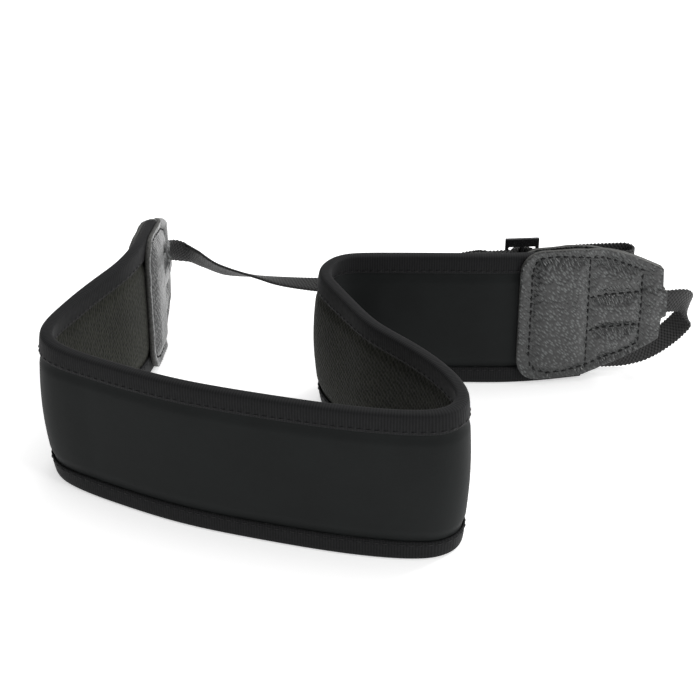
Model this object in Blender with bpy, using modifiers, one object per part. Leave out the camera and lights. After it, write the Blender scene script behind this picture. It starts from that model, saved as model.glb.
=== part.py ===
"""Camera neck strap: a padded band that stands on its edge in loose folds, with a leather tab,
a narrow webbing tie, a slider and a lug loop at each end.

Metres, +Z up. Seen from the front, +X is to the right and +Y is away. The band rests on its lower
bound edge at z = 0, and the origin lies under the middle of the whole strap.

Flat pattern coordinates are used throughout: `along` runs from the left end of the pad to its right
end, `aside` is the distance from the middle of the band's thickness, positive on the lined side, and
`up` is the height above the band's middle line. The fold table then bends the pattern.
"""

import math
from collections import namedtuple

import bmesh
import bpy
import numpy as np
from mathutils import Matrix, Vector

# Band
PAD_LENGTH = 0.516
PAD_WIDTH = 0.062
EDGE_THICKNESS = 0.005
PAD_SWELL = 0.0010
SWELL_RUN = 0.005
LINING_THICKNESS = 0.0010
TAPE_WALL = 0.0008
TAPE_FLAP = 0.008
TAPE_ROUNDING = 0.0012

# Leather tabs
TAB_LENGTH = 0.064
TAB_OVERLAP = 0.029
TAB_THICKNESS = 0.0013
TAB_CORNER = 0.010
TAB_PINCH_RUN = 0.009
TONGUE_LENGTH = 0.0025
TONGUE_WIDTH = 0.012
TONGUE_RUN_OUT = 0.0015

# Webbing
WEBBING_WIDTH = 0.011
WEBBING_THICKNESS = 0.0011
SEWN_IN = 0.027
LUG_LOOP_LENGTH = 0.049
LUG_LOOP_OPENING = 0.0072
TAIL_LENGTH = 0.016

# Sliders
SLIDER_HEIGHT = 0.0185
SLIDER_THICKNESS = 0.0014
SLIDER_BAR = 0.0016
SLIDER_WINDOW = 0.0051
SLIDER_WINDOW_SPARE = 0.0026
SLIDER_RISE = 0.0009
SLIDER_ROUNDING = 0.0006
HUMP_ANGLE = math.radians(50)

# Fits and fineness
CLEARANCE = 0.0003
MAX_TURN = math.radians(12)
MAX_STEP = 0.014
FINE_STEP = 0.0005
WEBBING_STEP = 0.004
LOOP_SIDES = 8

# The folds of the band. `at` is a share of the pad's length, `heading` the compass of the band in
# plan in degrees from +X, `pitch` its rise in degrees, and `bow` how far the middle line stands out
# to the lined side, as a share of the edge thickness.
Fold = namedtuple("Fold", "at heading pitch bow")
FOLDS = (
    Fold(-0.086, -91, 2, 0.0),
    Fold(-0.046, -91, 3, 0.0),
    Fold(-0.015, -91, 4.8, 0.0),
    Fold(0.040, -95, 4.3, 0.0),
    Fold(0.076, -105, 0, 0.0),
    Fold(0.110, -119, -4, 0.0),
    Fold(0.149, -115, -4, 0.0),
    Fold(0.178, -106, 0, -0.3),
    Fold(0.198, -90, 0, -0.5),
    Fold(0.217, -60, 0, -0.5),
    Fold(0.236, -38, 0, -0.3),
    Fold(0.262, -30, 0, 0.0),
    Fold(0.308, -26, 0, 0.0),
    Fold(0.366, -18, 0, 0.0),
    Fold(0.428, -15, 0, 0.0),
    Fold(0.482, -8, 0, 0.0),
    Fold(0.510, 3, 0, -0.2),
    Fold(0.525, 27, 0, -0.4),
    Fold(0.541, 67, 0, -0.4),
    Fold(0.556, 97, 0, -0.3),
    Fold(0.576, 112, 0, 0.0),
    Fold(0.603, 122, 0, 0.0),
    Fold(0.648, 130, 0, 0.0),
    Fold(0.695, 115, 0, 0.2),
    Fold(0.744, 113, 0, 0.6),
    Fold(0.785, 58, 0, 0.6),
    Fold(0.812, 5, 0, 0.2),
    Fold(0.831, 0, 0, 0.0),
    Fold(0.909, -1, 0, 0.0),
    Fold(0.954, 5, 1, 0.0),
    Fold(0.985, 9, 2, 0.0),
    Fold(1.073, 9, 1.6, 0.0),
)
LEVEL_AT = 0.442

# The edge of a tab past its rounded corner: `along` is a share of the tab's length from its broad
# end, `half` a share of half the pad's width.
TabEdge = namedtuple("TabEdge", "along half")
TAB_EDGE = (
    TabEdge(0.36, 0.995),
    TabEdge(0.50, 0.965),
    TabEdge(0.60, 0.92),
    TabEdge(0.74, 0.82),
    TabEdge(0.88, 0.68),
    TabEdge(1.00, 0.545),
)

# How far each leather layer sits above the band's middle line, at its broad end and at its tongue.
Rise = namedtuple("Rise", "broad tongue")
TAB_RISE = {
    ("left", "outer"): Rise(-0.0015, 0.0),
    ("left", "inner"): Rise(0.0, 0.0),
    ("right", "outer"): Rise(0.0025, 0.0015),
    ("right", "inner"): Rise(0.0, 0.0015),
}

# The left webbing from the tab's tip to its slider. `along` and `aside` are shares of the straight
# line between the two, `rise` is a share of the climb, and `lean` turns the webbing in degrees.
Tie = namedtuple("Tie", "along aside rise lean")
LEFT_TIE = (
    Tie(-0.002, 0.018, -0.03, 3),
    Tie(0.003, 0.041, -0.08, 7),
    Tie(0.028, 0.064, -0.19, 13),
    Tie(0.076, 0.050, -0.22, 19),
    Tie(0.118, 0.027, -0.22, 28),
    Tie(0.160, 0.005, -0.21, 38),
    Tie(0.210, -0.008, -0.19, 50),
    Tie(0.258, -0.015, -0.17, 61),
    Tie(0.305, -0.024, -0.145, 71),
    Tie(0.352, -0.033, -0.12, 82),
    Tie(0.440, -0.037, -0.07, 94),
    Tie(0.614, -0.036, 0.16, 122),
    Tie(0.764, -0.028, 0.57, 152),
    Tie(0.882, -0.013, 0.88, 174),
)
LEFT_SLIDER_AT = 0.952
LEFT_SLIDER_BEHIND = 0.016
LEFT_SLIDER_TOP = 0.9815

# The right webbing: first a tight turn past the tab's tip, in shares of the webbing's width, with
# `drop` a share of the way down to the floor, then a run behind the band, where `at` is a share of
# the pad's length and `behind` is in webbing widths.
Turn = namedtuple("Turn", "ahead aside drop lean")
RIGHT_TURN = (
    Turn(0.32, 0.045, 0.007, 0),
    Turn(0.655, 0.155, 0.04, 0),
    Turn(0.91, 0.33, 0.135, 0),
    Turn(0.99, 0.53, 0.284, 2),
    Turn(0.89, 0.655, 0.446, 10),
    Turn(0.60, 0.72, 0.60, 20),
    Turn(0.20, 0.70, 0.743, 26),
    Turn(-0.29, 0.63, 0.865, 24),
    Turn(-0.89, 0.56, 0.955, 15),
    Turn(-1.59, 0.52, 0.995, 7),
)
Run = namedtuple("Run", "at behind lean")
RIGHT_RUN = (
    Run(1.022, 0.56, 0),
    Run(0.990, 0.80, 0),
    Run(0.957, 1.03, 0),
)
RIGHT_SLIDER_AT = 0.888
RIGHT_SLIDER_BEHIND = 0.013

Finish = namedtuple("Finish", "red green blue roughness metallic")
FINISHES = {
    "neoprene": Finish(0.015, 0.018, 0.018, 0.85, 0.0),
    "grip_mesh": Finish(0.030, 0.032, 0.026, 0.95, 0.0),
    "binding": Finish(0.022, 0.020, 0.023, 0.80, 0.0),
    "leather": Finish(0.075, 0.085, 0.083, 0.45, 0.0),
    "webbing": Finish(0.028, 0.028, 0.028, 0.75, 0.0),
    "slider": Finish(0.012, 0.012, 0.012, 0.25, 0.0),
}

HALF_WIDTH = PAD_WIDTH / 2
HALF_EDGE = EDGE_THICKNESS / 2


def clear_scene():
    for thing in list(bpy.data.objects):
        bpy.data.objects.remove(thing)


def eased(places, values, query):
    """Read a smooth curve through the values, with no overshoot between two rows."""
    places, values = np.asarray(places, float), np.asarray(values, float)
    steps, rises = np.diff(places), np.diff(values)
    secants = rises / steps
    slopes = np.concatenate([[secants[0]], np.zeros(len(secants) - 1), [secants[-1]]])
    same_way = secants[:-1] * secants[1:] > 0
    before, after = secants[:-1][same_way], secants[1:][same_way]
    slopes[1:-1][same_way] = 2 * before * after / (before + after)
    query = np.clip(query, places[0], places[-1])
    row = np.clip(np.searchsorted(places, query, side="right") - 1, 0, len(steps) - 1)
    t = (query - places[row]) / steps[row]
    start, end = values[row], values[row + 1]
    bend_in, bend_out = slopes[row] * steps[row], slopes[row + 1] * steps[row]
    return (start * (1 + 2 * t) * (1 - t) ** 2 + bend_in * t * (1 - t) ** 2
            + end * t * t * (3 - 2 * t) + bend_out * t * t * (t - 1))


class Band:
    """The folded path of the band, with its length kept."""

    def __init__(self):
        reach = TAB_LENGTH - TAB_OVERLAP + TONGUE_LENGTH + 2 * TONGUE_RUN_OUT
        count = round((PAD_LENGTH + 2 * reach) / FINE_STEP) + 1
        self.along = np.linspace(-reach, PAD_LENGTH + reach, count)
        at = self.along / PAD_LENGTH
        rows = [fold.at for fold in FOLDS]
        self.heading = np.radians(eased(rows, [fold.heading for fold in FOLDS], at))
        self.pitch = np.radians(eased(rows, [fold.pitch for fold in FOLDS], at))
        self.bow = eased(rows, [fold.bow for fold in FOLDS], at) * EDGE_THICKNESS
        tangent = np.stack([
            np.cos(self.heading) * np.cos(self.pitch),
            np.sin(self.heading) * np.cos(self.pitch),
            np.sin(self.pitch),
        ], axis=1)
        middle = (tangent[1:] + tangent[:-1]) / 2
        steps = np.diff(self.along)[:, None]
        self.centre = np.concatenate([np.zeros((1, 3)), np.cumsum(middle * steps, axis=0)])
        level = np.interp(LEVEL_AT * PAD_LENGTH, self.along, self.centre[:, 2])
        self.centre[:, 2] += HALF_WIDTH - level
        self.cuts = (self.stations(-reach, 0)[:-1] + self.stations(0, PAD_LENGTH)
                     + self.stations(PAD_LENGTH, PAD_LENGTH + reach)[1:])

    def read(self, values, along):
        return float(np.interp(along, self.along, values))

    def frame(self, along):
        """Give the middle point and the directions forward, aside and up at one place."""
        heading, pitch = self.read(self.heading, along), self.read(self.pitch, along)
        centre = Vector([self.read(self.centre[:, axis], along) for axis in range(3)])
        ahead = Vector((math.cos(heading) * math.cos(pitch), math.sin(heading) * math.cos(pitch),
                        math.sin(pitch)))
        aside = Vector((-math.sin(heading), math.cos(heading), 0))
        return centre, ahead, aside, ahead.cross(aside)

    def place(self, along, aside, up):
        """Bend one point of the flat pattern."""
        centre, _, side, rise = self.frame(along)
        bow = self.read(self.bow, along) * (1 - (up / HALF_WIDTH) ** 2)
        return centre + side * (aside + bow) + rise * up

    def stations(self, start, end):
        """Cut a stretch so finely that no piece of it turns or runs too far."""
        cuts = [start]
        for along, heading in zip(self.along, self.heading):
            if not start < along < end - FINE_STEP:
                continue
            turned = abs(heading - self.read(self.heading, cuts[-1]))
            if turned >= MAX_TURN or along - cuts[-1] >= MAX_STEP:
                cuts.append(float(along))
        return cuts + [end]


def extruded(outline, thickness, axis):
    """Fill a closed outline and pull it along one axis into a solid."""
    mesh = bmesh.new()
    mesh.faces.new([mesh.verts.new(point) for point in outline])
    pulled = bmesh.ops.extrude_face_region(mesh, geom=mesh.faces[:])["geom"]
    corners = [item for item in pulled if isinstance(item, bmesh.types.BMVert)]
    bmesh.ops.translate(mesh, verts=corners, vec=Vector(axis) * thickness)
    bmesh.ops.recalc_face_normals(mesh, faces=mesh.faces[:])
    return mesh


def slice_mesh(mesh, cuts, axis):
    for cut in cuts:
        geometry = mesh.verts[:] + mesh.edges[:] + mesh.faces[:]
        bmesh.ops.bisect_plane(mesh, geom=geometry, dist=1e-7, plane_co=Vector(axis) * cut,
                               plane_no=axis)


def finish_piece(name, mesh, finish):
    """Turn a bmesh into a named, coloured object of the strap, with its faces outwards."""
    bmesh.ops.recalc_face_normals(mesh, faces=mesh.faces[:])
    if mesh.calc_volume(signed=True) < 0:
        bmesh.ops.reverse_faces(mesh, faces=mesh.faces[:])
    data = bpy.data.meshes.new(name)
    mesh.to_mesh(data)
    mesh.free()
    piece = bpy.data.objects.new(name, data)
    STRAP.objects.link(piece)
    colour = bpy.data.materials.get(finish) or new_material(finish)
    data.materials.append(colour)
    return piece


def new_material(finish):
    values = FINISHES[finish]
    material = bpy.data.materials.new(finish)
    material.use_nodes = True
    shader = material.node_tree.nodes["Principled BSDF"]
    shader.inputs["Base Color"].default_value = (values.red, values.green, values.blue, 1)
    shader.inputs["Roughness"].default_value = values.roughness
    shader.inputs["Metallic"].default_value = values.metallic
    return material


def long_piece(name, section, finish):
    """Sweep an (aside, up) section over the whole length of the pad."""
    mesh = extruded([(0, aside, up) for aside, up in section], PAD_LENGTH, (1, 0, 0))
    slice_mesh(mesh, [cut for cut in BAND.cuts if 0 < cut < PAD_LENGTH], (1, 0, 0))
    for corner in mesh.verts:
        corner.co = BAND.place(*corner.co)
    return finish_piece(name, mesh, finish)


def swollen(aside_at_edge, swell):
    """Give one face of the pad from its lower to its upper edge, thin under the tape."""
    inset = TAPE_WALL + CLEARANCE
    under_tape = HALF_WIDTH - TAPE_FLAP - CLEARANCE
    profile = (
        (HALF_WIDTH - inset, 0.0),
        (under_tape, 0.0),
        (under_tape - SWELL_RUN * 0.4, 0.6),
        (under_tape - SWELL_RUN, 0.92),
    )
    lower = [(aside_at_edge + swell * share, -up) for up, share in profile]
    upper = [(aside, -up) for aside, up in reversed(lower)]
    return lower + [(aside_at_edge + swell, 0.0)] + upper


def build_pad():
    """Make the neoprene core and the grip lining on its inner side."""
    half_inside = HALF_EDGE - TAPE_WALL - CLEARANCE
    seam = half_inside - LINING_THICKNESS
    outer = swollen(-half_inside, -PAD_SWELL)
    core_back = swollen(seam - CLEARANCE, PAD_SWELL)
    lining_back = swollen(seam, PAD_SWELL)
    lining_face = swollen(half_inside, PAD_SWELL)
    long_piece("neck_pad", outer + core_back[::-1], "neoprene")
    long_piece("grip_lining", lining_back + lining_face[::-1], "grip_mesh")


def build_bindings():
    """Make the tape folded over each long edge of the pad."""
    inner = HALF_EDGE - TAPE_WALL
    rounded = (
        (HALF_EDGE, TAPE_FLAP),
        (HALF_EDGE, TAPE_ROUNDING),
        (HALF_EDGE - TAPE_ROUNDING * 0.3, TAPE_ROUNDING * 0.3),
        (HALF_EDGE - TAPE_ROUNDING, 0),
    )
    hollow = ((inner, TAPE_WALL), (inner, TAPE_FLAP))
    section = list(rounded) + [(-aside, depth) for aside, depth in reversed(rounded)]
    section += [(-aside, depth) for aside, depth in reversed(hollow)] + list(hollow)
    for name, way in (("bottom_binding", -1), ("top_binding", 1)):
        long_piece(name, [(aside, way * (HALF_WIDTH - depth)) for aside, depth in section], "binding")


def tab_outline():
    """Give the tab's edge as (along, up) points, from its broad end to its tongue."""
    corner = Vector((TAB_CORNER, HALF_WIDTH - TAB_CORNER))
    arc = [corner + TAB_CORNER * Vector((-math.cos(turn), math.sin(turn)))
           for turn in np.radians((0, 25, 50, 75, 90))]
    edge = [Vector((row.along * TAB_LENGTH, row.half * HALF_WIDTH)) for row in TAB_EDGE]
    tongue = [Vector((TAB_LENGTH, TONGUE_WIDTH / 2)),
              Vector((TAB_LENGTH + TONGUE_LENGTH, TONGUE_WIDTH / 2))]
    upper = arc + edge + tongue
    return upper + [Vector((point.x, -point.y)) for point in reversed(upper)]


def tab_lift(along, up):
    """Give how far a tab's inner face lies from the middle of the band."""
    over_pad = HALF_EDGE + CLEARANCE
    over_webbing = WEBBING_THICKNESS / 2 + CLEARANCE
    closed = CLEARANCE / 2
    margin = eased((WEBBING_WIDTH / 2 + CLEARANCE, TONGUE_WIDTH / 2 + TAB_THICKNESS * 2), (0, 1), abs(up))
    thin = over_webbing + (closed - over_webbing) * float(margin)
    past_pad = eased((TAB_OVERLAP + CLEARANCE, TAB_OVERLAP + TAB_PINCH_RUN), (0, 1), along)
    return over_pad + (thin - over_pad) * float(past_pad)


def build_tab(end, side):
    """Make one leather layer of a tab, on the outer or the lined side of the band."""
    way = -1 if side == "outer" else 1
    mesh = extruded([(point.x, 0, point.y) for point in tab_outline()], TAB_THICKNESS, (0, 1, 0))
    pinch_end = TAB_OVERLAP + TAB_PINCH_RUN
    pinch = np.linspace(TAB_OVERLAP + CLEARANCE, pinch_end, 5)
    shared = [band_to_tab(end, cut) for cut in BAND.cuts]
    clear_of_pinch = [cut for cut in shared if cut < pinch[0] or cut > pinch_end]
    slice_mesh(mesh, [*pinch, *clear_of_pinch, TAB_LENGTH], (1, 0, 0))
    brim = (WEBBING_WIDTH / 2 + CLEARANCE, TONGUE_WIDTH / 2 + TAB_THICKNESS * 2)
    slice_mesh(mesh, [way_up * cut for cut in brim for way_up in (-1, 1)], (0, 0, 1))
    for corner in mesh.verts:
        along, depth, up = corner.co
        aside = way * (tab_lift(along, up) + depth)
        corner.co = BAND.place(tab_to_band(end, along), aside, up + tab_rise(end, side, along))
    finish_piece(f"{end}_tab_{side}", mesh, "leather")


def tab_rise(end, side, along):
    """Give how far a leather layer sits above the band's middle line, a distance from its broad end."""
    rise = TAB_RISE[end, side]
    return rise.broad + (rise.tongue - rise.broad) * min(along / TAB_LENGTH, 1)


def tab_to_band(end, along):
    """Turn a distance from a tab's broad end into a distance along the band."""
    if end == "left":
        return TAB_OVERLAP - along
    return PAD_LENGTH - TAB_OVERLAP + along


def band_to_tab(end, along):
    """Turn a distance along the band into a distance from a tab's broad end."""
    if end == "left":
        return TAB_OVERLAP - along
    return along - PAD_LENGTH + TAB_OVERLAP


def smooth_route(rows, step):
    """Resample rows of (x, y, z, lean) at an even step, on a curve that never dips below them."""
    table = np.array(rows, float)
    chords = np.linalg.norm(np.diff(table[:, :3], axis=0), axis=1)
    knots = np.concatenate([[0], np.cumsum(chords)])
    slopes = np.gradient(table, knots, axis=0)
    places = np.linspace(0, knots[-1], max(2, round(knots[-1] / step) + 1))
    row = np.clip(np.searchsorted(knots, places, side="right") - 1, 0, len(chords) - 1)
    t = ((places - knots[row]) / chords[row])[:, None]
    width = chords[row][:, None]
    smooth = (table[row] * (1 + 2 * t) * (1 - t) ** 2 + slopes[row] * width * t * (1 - t) ** 2
              + table[row + 1] * t * t * (3 - 2 * t) + slopes[row + 1] * width * t * t * (t - 1))
    for column in (2, 3):
        smooth[:, column] = eased(knots, table[:, column], places)
    return smooth


def slider_length():
    return 3 * SLIDER_BAR + 2 * SLIDER_WINDOW


def stack_gap():
    """Give the distance between the middles of two layers of webbing that lie on each other."""
    return WEBBING_THICKNESS + CLEARANCE


def slider_lift():
    """Give how far the slider's middle lies from the middle of the two layers."""
    return SLIDER_THICKNESS / 2 + WEBBING_THICKNESS + 1.5 * CLEARANCE


def hump():
    """Give the (ahead, aside) corners of the two layers as they climb over the middle bar."""
    height = 2 * slider_lift()
    window = (SLIDER_BAR + SLIDER_WINDOW) / 2
    run = height / math.tan(HUMP_ANGLE) / 2
    side = [(window + run, 0.0), (window - run, height)]
    return [(-ahead, aside) for ahead, aside in side] + side[::-1]


def lug_loop(centre, heading, level):
    """Route the webbing over the slider, round the lug loop, back over the slider and to its tail."""
    ahead = Vector((math.cos(heading), math.sin(heading)))
    aside = Vector((-math.sin(heading), math.cos(heading)))
    half = stack_gap() / 2
    corners = hump()
    slant = half * math.tan(HUMP_ANGLE / 2)
    out = [(x + slant * (1 if x < 0 else -1) * (1 if y else -1) * -1, y + half) for x, y in corners]
    back = [(x - slant * (1 if x < 0 else -1) * (1 if y else -1) * -1, y - half) for x, y in corners]
    radius = (LUG_LOOP_OPENING + WEBBING_THICKNESS) / 2
    mouth = slider_length() / 2 + WEBBING_THICKNESS
    middle = LUG_LOOP_LENGTH - radius
    flare = [(mouth, half), (mouth + radius, half * 1.25), (mouth + 2.5 * radius, radius * 0.72)]
    turns = np.linspace(math.pi / 2, -math.pi / 2, LOOP_SIDES + 1)
    bend = [(middle + radius * math.cos(turn), radius * math.sin(turn)) for turn in turns]
    path = out + flare + [(mouth + 4.5 * radius, radius)] + bend
    path += [(mouth + 4.5 * radius, -radius)] + [(x, -y) for x, y in flare[::-1]] + back[::-1]
    path += [(-mouth, -half), (-mouth - TAIL_LENGTH, -half)]
    points = []
    for x, y in path:
        spot = Vector(centre[:2]) + ahead * x + aside * y
        points.append((spot.x, spot.y, level))
    return points


def ribbon(name, rows):
    """Sweep the webbing along (x, y, z, lean) rows, with mitred corners."""
    spots = [Vector(row[:3]) for row in rows]
    cuts = np.concatenate([[0], np.cumsum([(b - a).length for a, b in zip(spots, spots[1:])])])
    half_width, half = WEBBING_WIDTH / 2, WEBBING_THICKNESS / 2
    section = ((-half, -half_width), (half, -half_width), (half, half_width), (-half, half_width))
    mesh = extruded([(0, aside, up) for aside, up in section], float(cuts[-1]), (1, 0, 0))
    slice_mesh(mesh, cuts[1:-1], (1, 0, 0))
    frames = []
    for index, (spot, row) in enumerate(zip(spots, rows)):
        before = (spot - spots[max(index - 1, 0)]).normalized()
        after = (spots[min(index + 1, len(spots) - 1)] - spot).normalized()
        ahead = (before + after).normalized()
        level_side = Vector((0, 0, 1)).cross(ahead).normalized()
        upright = ahead.cross(level_side)
        lean = math.radians(row[3])
        across = upright * math.cos(lean) - level_side * math.sin(lean)
        ends = index in (0, len(spots) - 1)
        mitre = 1.0 if ends else 1 / max(0.5, math.sqrt((1 + before.dot(after)) / 2))
        frames.append((spot, across.cross(ahead) * mitre, across))
    for corner in mesh.verts:
        index = int(np.argmin(np.abs(cuts - corner.co.x)))
        spot, side, across = frames[index]
        corner.co = spot + side * corner.co.y + across * corner.co.z
    return finish_piece(name, mesh, "webbing")


def rounded_box(size):
    """Make a box with softened edges, centred, as an object of its own."""
    bpy.ops.mesh.primitive_cube_add(size=1)
    box = bpy.context.object
    box.scale = size
    bpy.ops.object.transform_apply(location=False, rotation=False, scale=True)
    return box


def build_slider(name, centre, heading):
    """Make a slider with two windows, standing beside the two layers of webbing."""
    frame = rounded_box((slider_length(), SLIDER_THICKNESS, SLIDER_HEIGHT))
    frame.name = name
    soft = frame.modifiers.new("soft edges", "BEVEL")
    soft.width = SLIDER_ROUNDING
    soft.segments = 1
    soft.limit_method = "ANGLE"
    window_height = WEBBING_WIDTH + SLIDER_WINDOW_SPARE
    for way in (-1, 1):
        window = rounded_box((SLIDER_WINDOW, 3 * SLIDER_THICKNESS, window_height))
        window.name = f"{name}_window_{'first' if way < 0 else 'second'}"
        window.location.x = way * (SLIDER_BAR + SLIDER_WINDOW) / 2
        window.hide_render = True
        window.display_type = "WIRE"
        window.parent = frame
        move_to(window, GUIDES)
        cut = frame.modifiers.new(window.name, "BOOLEAN")
        cut.operation = "DIFFERENCE"
        cut.solver = "EXACT"
        cut.object = window
    lift = slider_lift()
    side = Vector((-math.sin(heading), math.cos(heading), 0))
    frame.location = Vector(centre) + lift * side + Vector((0, 0, SLIDER_RISE))
    frame.rotation_euler.z = heading
    frame.data.materials.append(bpy.data.materials.get("slider") or new_material("slider"))
    move_to(frame, STRAP)


def move_to(thing, collection):
    for holder in list(thing.users_collection):
        holder.objects.unlink(thing)
    collection.objects.link(thing)


def sewn_start(end):
    """Route the webbing that is sewn in between the layers of a tab, straight out of its tongue."""
    places = np.linspace(TAB_LENGTH - SEWN_IN, TAB_LENGTH + TONGUE_LENGTH + TONGUE_RUN_OUT, 8)
    rise = TAB_RISE[end, "inner"].tongue
    spots = [BAND.place(tab_to_band(end, float(place)), 0, rise) for place in places]
    return [(*spot, 0.0) for spot in spots]


def slider_place(at, behind, level):
    """Give a slider's centre behind the band, and the heading of the band there."""
    centre, ahead, aside, _ = BAND.frame(at * PAD_LENGTH)
    spot = centre + aside * behind
    return Vector((spot.x, spot.y, level)), math.atan2(ahead.y, ahead.x)


def build_left_tie():
    """Make the left webbing: it crosses behind the band to its slider near the right tab."""
    start = sewn_start("left")
    tip = Vector(start[-1][:3])
    level = LEFT_SLIDER_TOP * PAD_WIDTH - SLIDER_HEIGHT / 2 - SLIDER_RISE
    centre, heading = slider_place(LEFT_SLIDER_AT, LEFT_SLIDER_BEHIND, level)
    chord = centre - tip
    flat = Vector((chord.x, chord.y, 0))
    side = Vector((-flat.y, flat.x, 0))
    crossing = []
    for row in LEFT_TIE:
        spot = tip + flat * row.along + side * row.aside
        crossing.append((spot.x, spot.y, tip.z + chord.z * row.rise, row.lean))
    finish_tie("left", start, crossing, centre, heading, 180.0)


def build_right_tie():
    """Make the right webbing: it turns down past the tip and lies on the floor behind the band."""
    start = sewn_start("right")
    tip = Vector(start[-1][:3])
    _, ahead, aside, _ = BAND.frame(tab_to_band("right", TAB_LENGTH + TONGUE_LENGTH))
    floor = WEBBING_WIDTH / 2 + CLEARANCE
    crossing = []
    for row in RIGHT_TURN:
        spot = tip + (ahead * row.ahead + aside * row.aside) * WEBBING_WIDTH
        crossing.append((spot.x, spot.y, tip.z + (floor - tip.z) * row.drop, row.lean))
    for row in RIGHT_RUN:
        centre, _, side, _ = BAND.frame(row.at * PAD_LENGTH)
        spot = centre + side * row.behind * WEBBING_WIDTH
        crossing.append((spot.x, spot.y, floor, row.lean))
    level = SLIDER_HEIGHT / 2 + CLEARANCE - SLIDER_RISE
    centre, heading = slider_place(RIGHT_SLIDER_AT, RIGHT_SLIDER_BEHIND, level)
    finish_tie("right", start, crossing, centre, heading + math.pi, 0.0)


def finish_tie(end, start, crossing, centre, heading, lean):
    """Join the sewn stretch, the crossing and the lug loop, and add the slider."""
    loop = [(*spot, lean) for spot in lug_loop(centre, heading, centre.z)]
    approach = Vector((math.cos(heading), math.sin(heading), 0)) * slider_length()
    aside = Vector((-math.sin(heading), math.cos(heading), 0)) * stack_gap() / 2
    before = centre + aside - approach
    nearer = centre + aside - approach * 0.62
    rows = start + crossing + [(*before, lean), (*nearer, lean)]
    route = smooth_route(rows, WEBBING_STEP)
    ribbon(f"{end}_webbing", [tuple(row) for row in route] + loop)
    build_slider(f"{end}_slider", centre, heading)


def centre_strap():
    """Bring the middle of the strap over the origin and its lowest edge to the floor."""
    bpy.context.view_layer.update()
    corners = np.array([piece.matrix_world @ corner.co
                        for piece in STRAP.objects for corner in piece.data.vertices])
    low, high = corners.min(axis=0), corners.max(axis=0)
    shift = Vector((-(low[0] + high[0]) / 2, -(low[1] + high[1]) / 2, -low[2]))
    for piece in STRAP.objects:
        if piece.location.length > 0:
            piece.location += shift
        else:
            piece.data.transform(Matrix.Translation(shift))


clear_scene()
STRAP = bpy.data.collections.new("camera_neck_strap")
GUIDES = bpy.data.collections.new("guides")
bpy.context.scene.collection.children.link(STRAP)
bpy.context.scene.collection.children.link(GUIDES)
BAND = Band()

build_pad()
build_bindings()
for tab_end in ("left", "right"):
    for tab_side in ("outer", "inner"):
        build_tab(tab_end, tab_side)
build_left_tie()
build_right_tie()
centre_strap()
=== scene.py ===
"""Dressed model of a camera neck strap: a padded band with bound edges that stands in loose folds,
a stitched leather tab at each end, and a narrow webbing tie with a slider and a lug loop at each tab.

Metres, +Z up. The flat pattern of the band is used throughout: `along` runs from the left end of the
pad to its right end, `aside` is the distance from the middle of its thickness, positive on the lined
side, and `up` is the height above its middle line. The fold table then bends the pattern.
"""

import logging
import math
from dataclasses import dataclass, field
from enum import Enum
from typing import Callable, NamedTuple, Sequence

import bmesh
import bpy
import numpy as np
from mathutils import Matrix, Vector, noise

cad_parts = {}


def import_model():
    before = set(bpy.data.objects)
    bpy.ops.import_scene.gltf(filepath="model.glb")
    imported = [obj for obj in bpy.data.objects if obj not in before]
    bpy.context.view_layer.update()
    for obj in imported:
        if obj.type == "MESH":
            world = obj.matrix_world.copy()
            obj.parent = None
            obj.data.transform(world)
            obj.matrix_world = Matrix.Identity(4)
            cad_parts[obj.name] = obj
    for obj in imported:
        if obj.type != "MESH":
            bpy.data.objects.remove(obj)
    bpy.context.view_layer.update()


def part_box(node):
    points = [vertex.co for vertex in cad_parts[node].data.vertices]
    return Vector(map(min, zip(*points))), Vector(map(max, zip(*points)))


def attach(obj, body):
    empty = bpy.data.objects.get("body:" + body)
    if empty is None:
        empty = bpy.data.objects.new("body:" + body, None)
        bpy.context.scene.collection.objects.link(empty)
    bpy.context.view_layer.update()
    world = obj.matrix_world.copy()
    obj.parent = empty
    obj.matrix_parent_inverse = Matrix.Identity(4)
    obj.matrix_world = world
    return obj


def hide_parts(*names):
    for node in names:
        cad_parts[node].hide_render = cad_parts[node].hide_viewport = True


LOG = logging.getLogger("neck_strap")

# Where the sliders lie, as a share of the pad's length, and how far behind the band
LEFT_SLIDER_AT = 0.952
LEFT_SLIDER_BEHIND = 0.016
RIGHT_SLIDER_AT = 0.888
RIGHT_SLIDER_BEHIND = 0.013

# Height of the left slider's top, as a share of the pad's width
LEFT_SLIDER_TOP = 0.9815
FLOOR_GAP = 0.0003


class End(Enum):
    """The two ends of the strap."""

    LEFT = "left"
    RIGHT = "right"


class Face(Enum):
    """The two faces of the band, with the way that each one points."""

    OUTER = -1
    INNER = 1


class Fold(NamedTuple):
    """One row of the fold table."""

    at: float
    heading: float
    pitch: float
    bow: float


class Rise(NamedTuple):
    """How far a leather layer sits above the band's middle line at its two ends."""

    broad: float
    tongue: float


class Row(NamedTuple):
    """One row of a tie's route."""

    x: float
    y: float
    z: float
    lean: float


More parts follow.
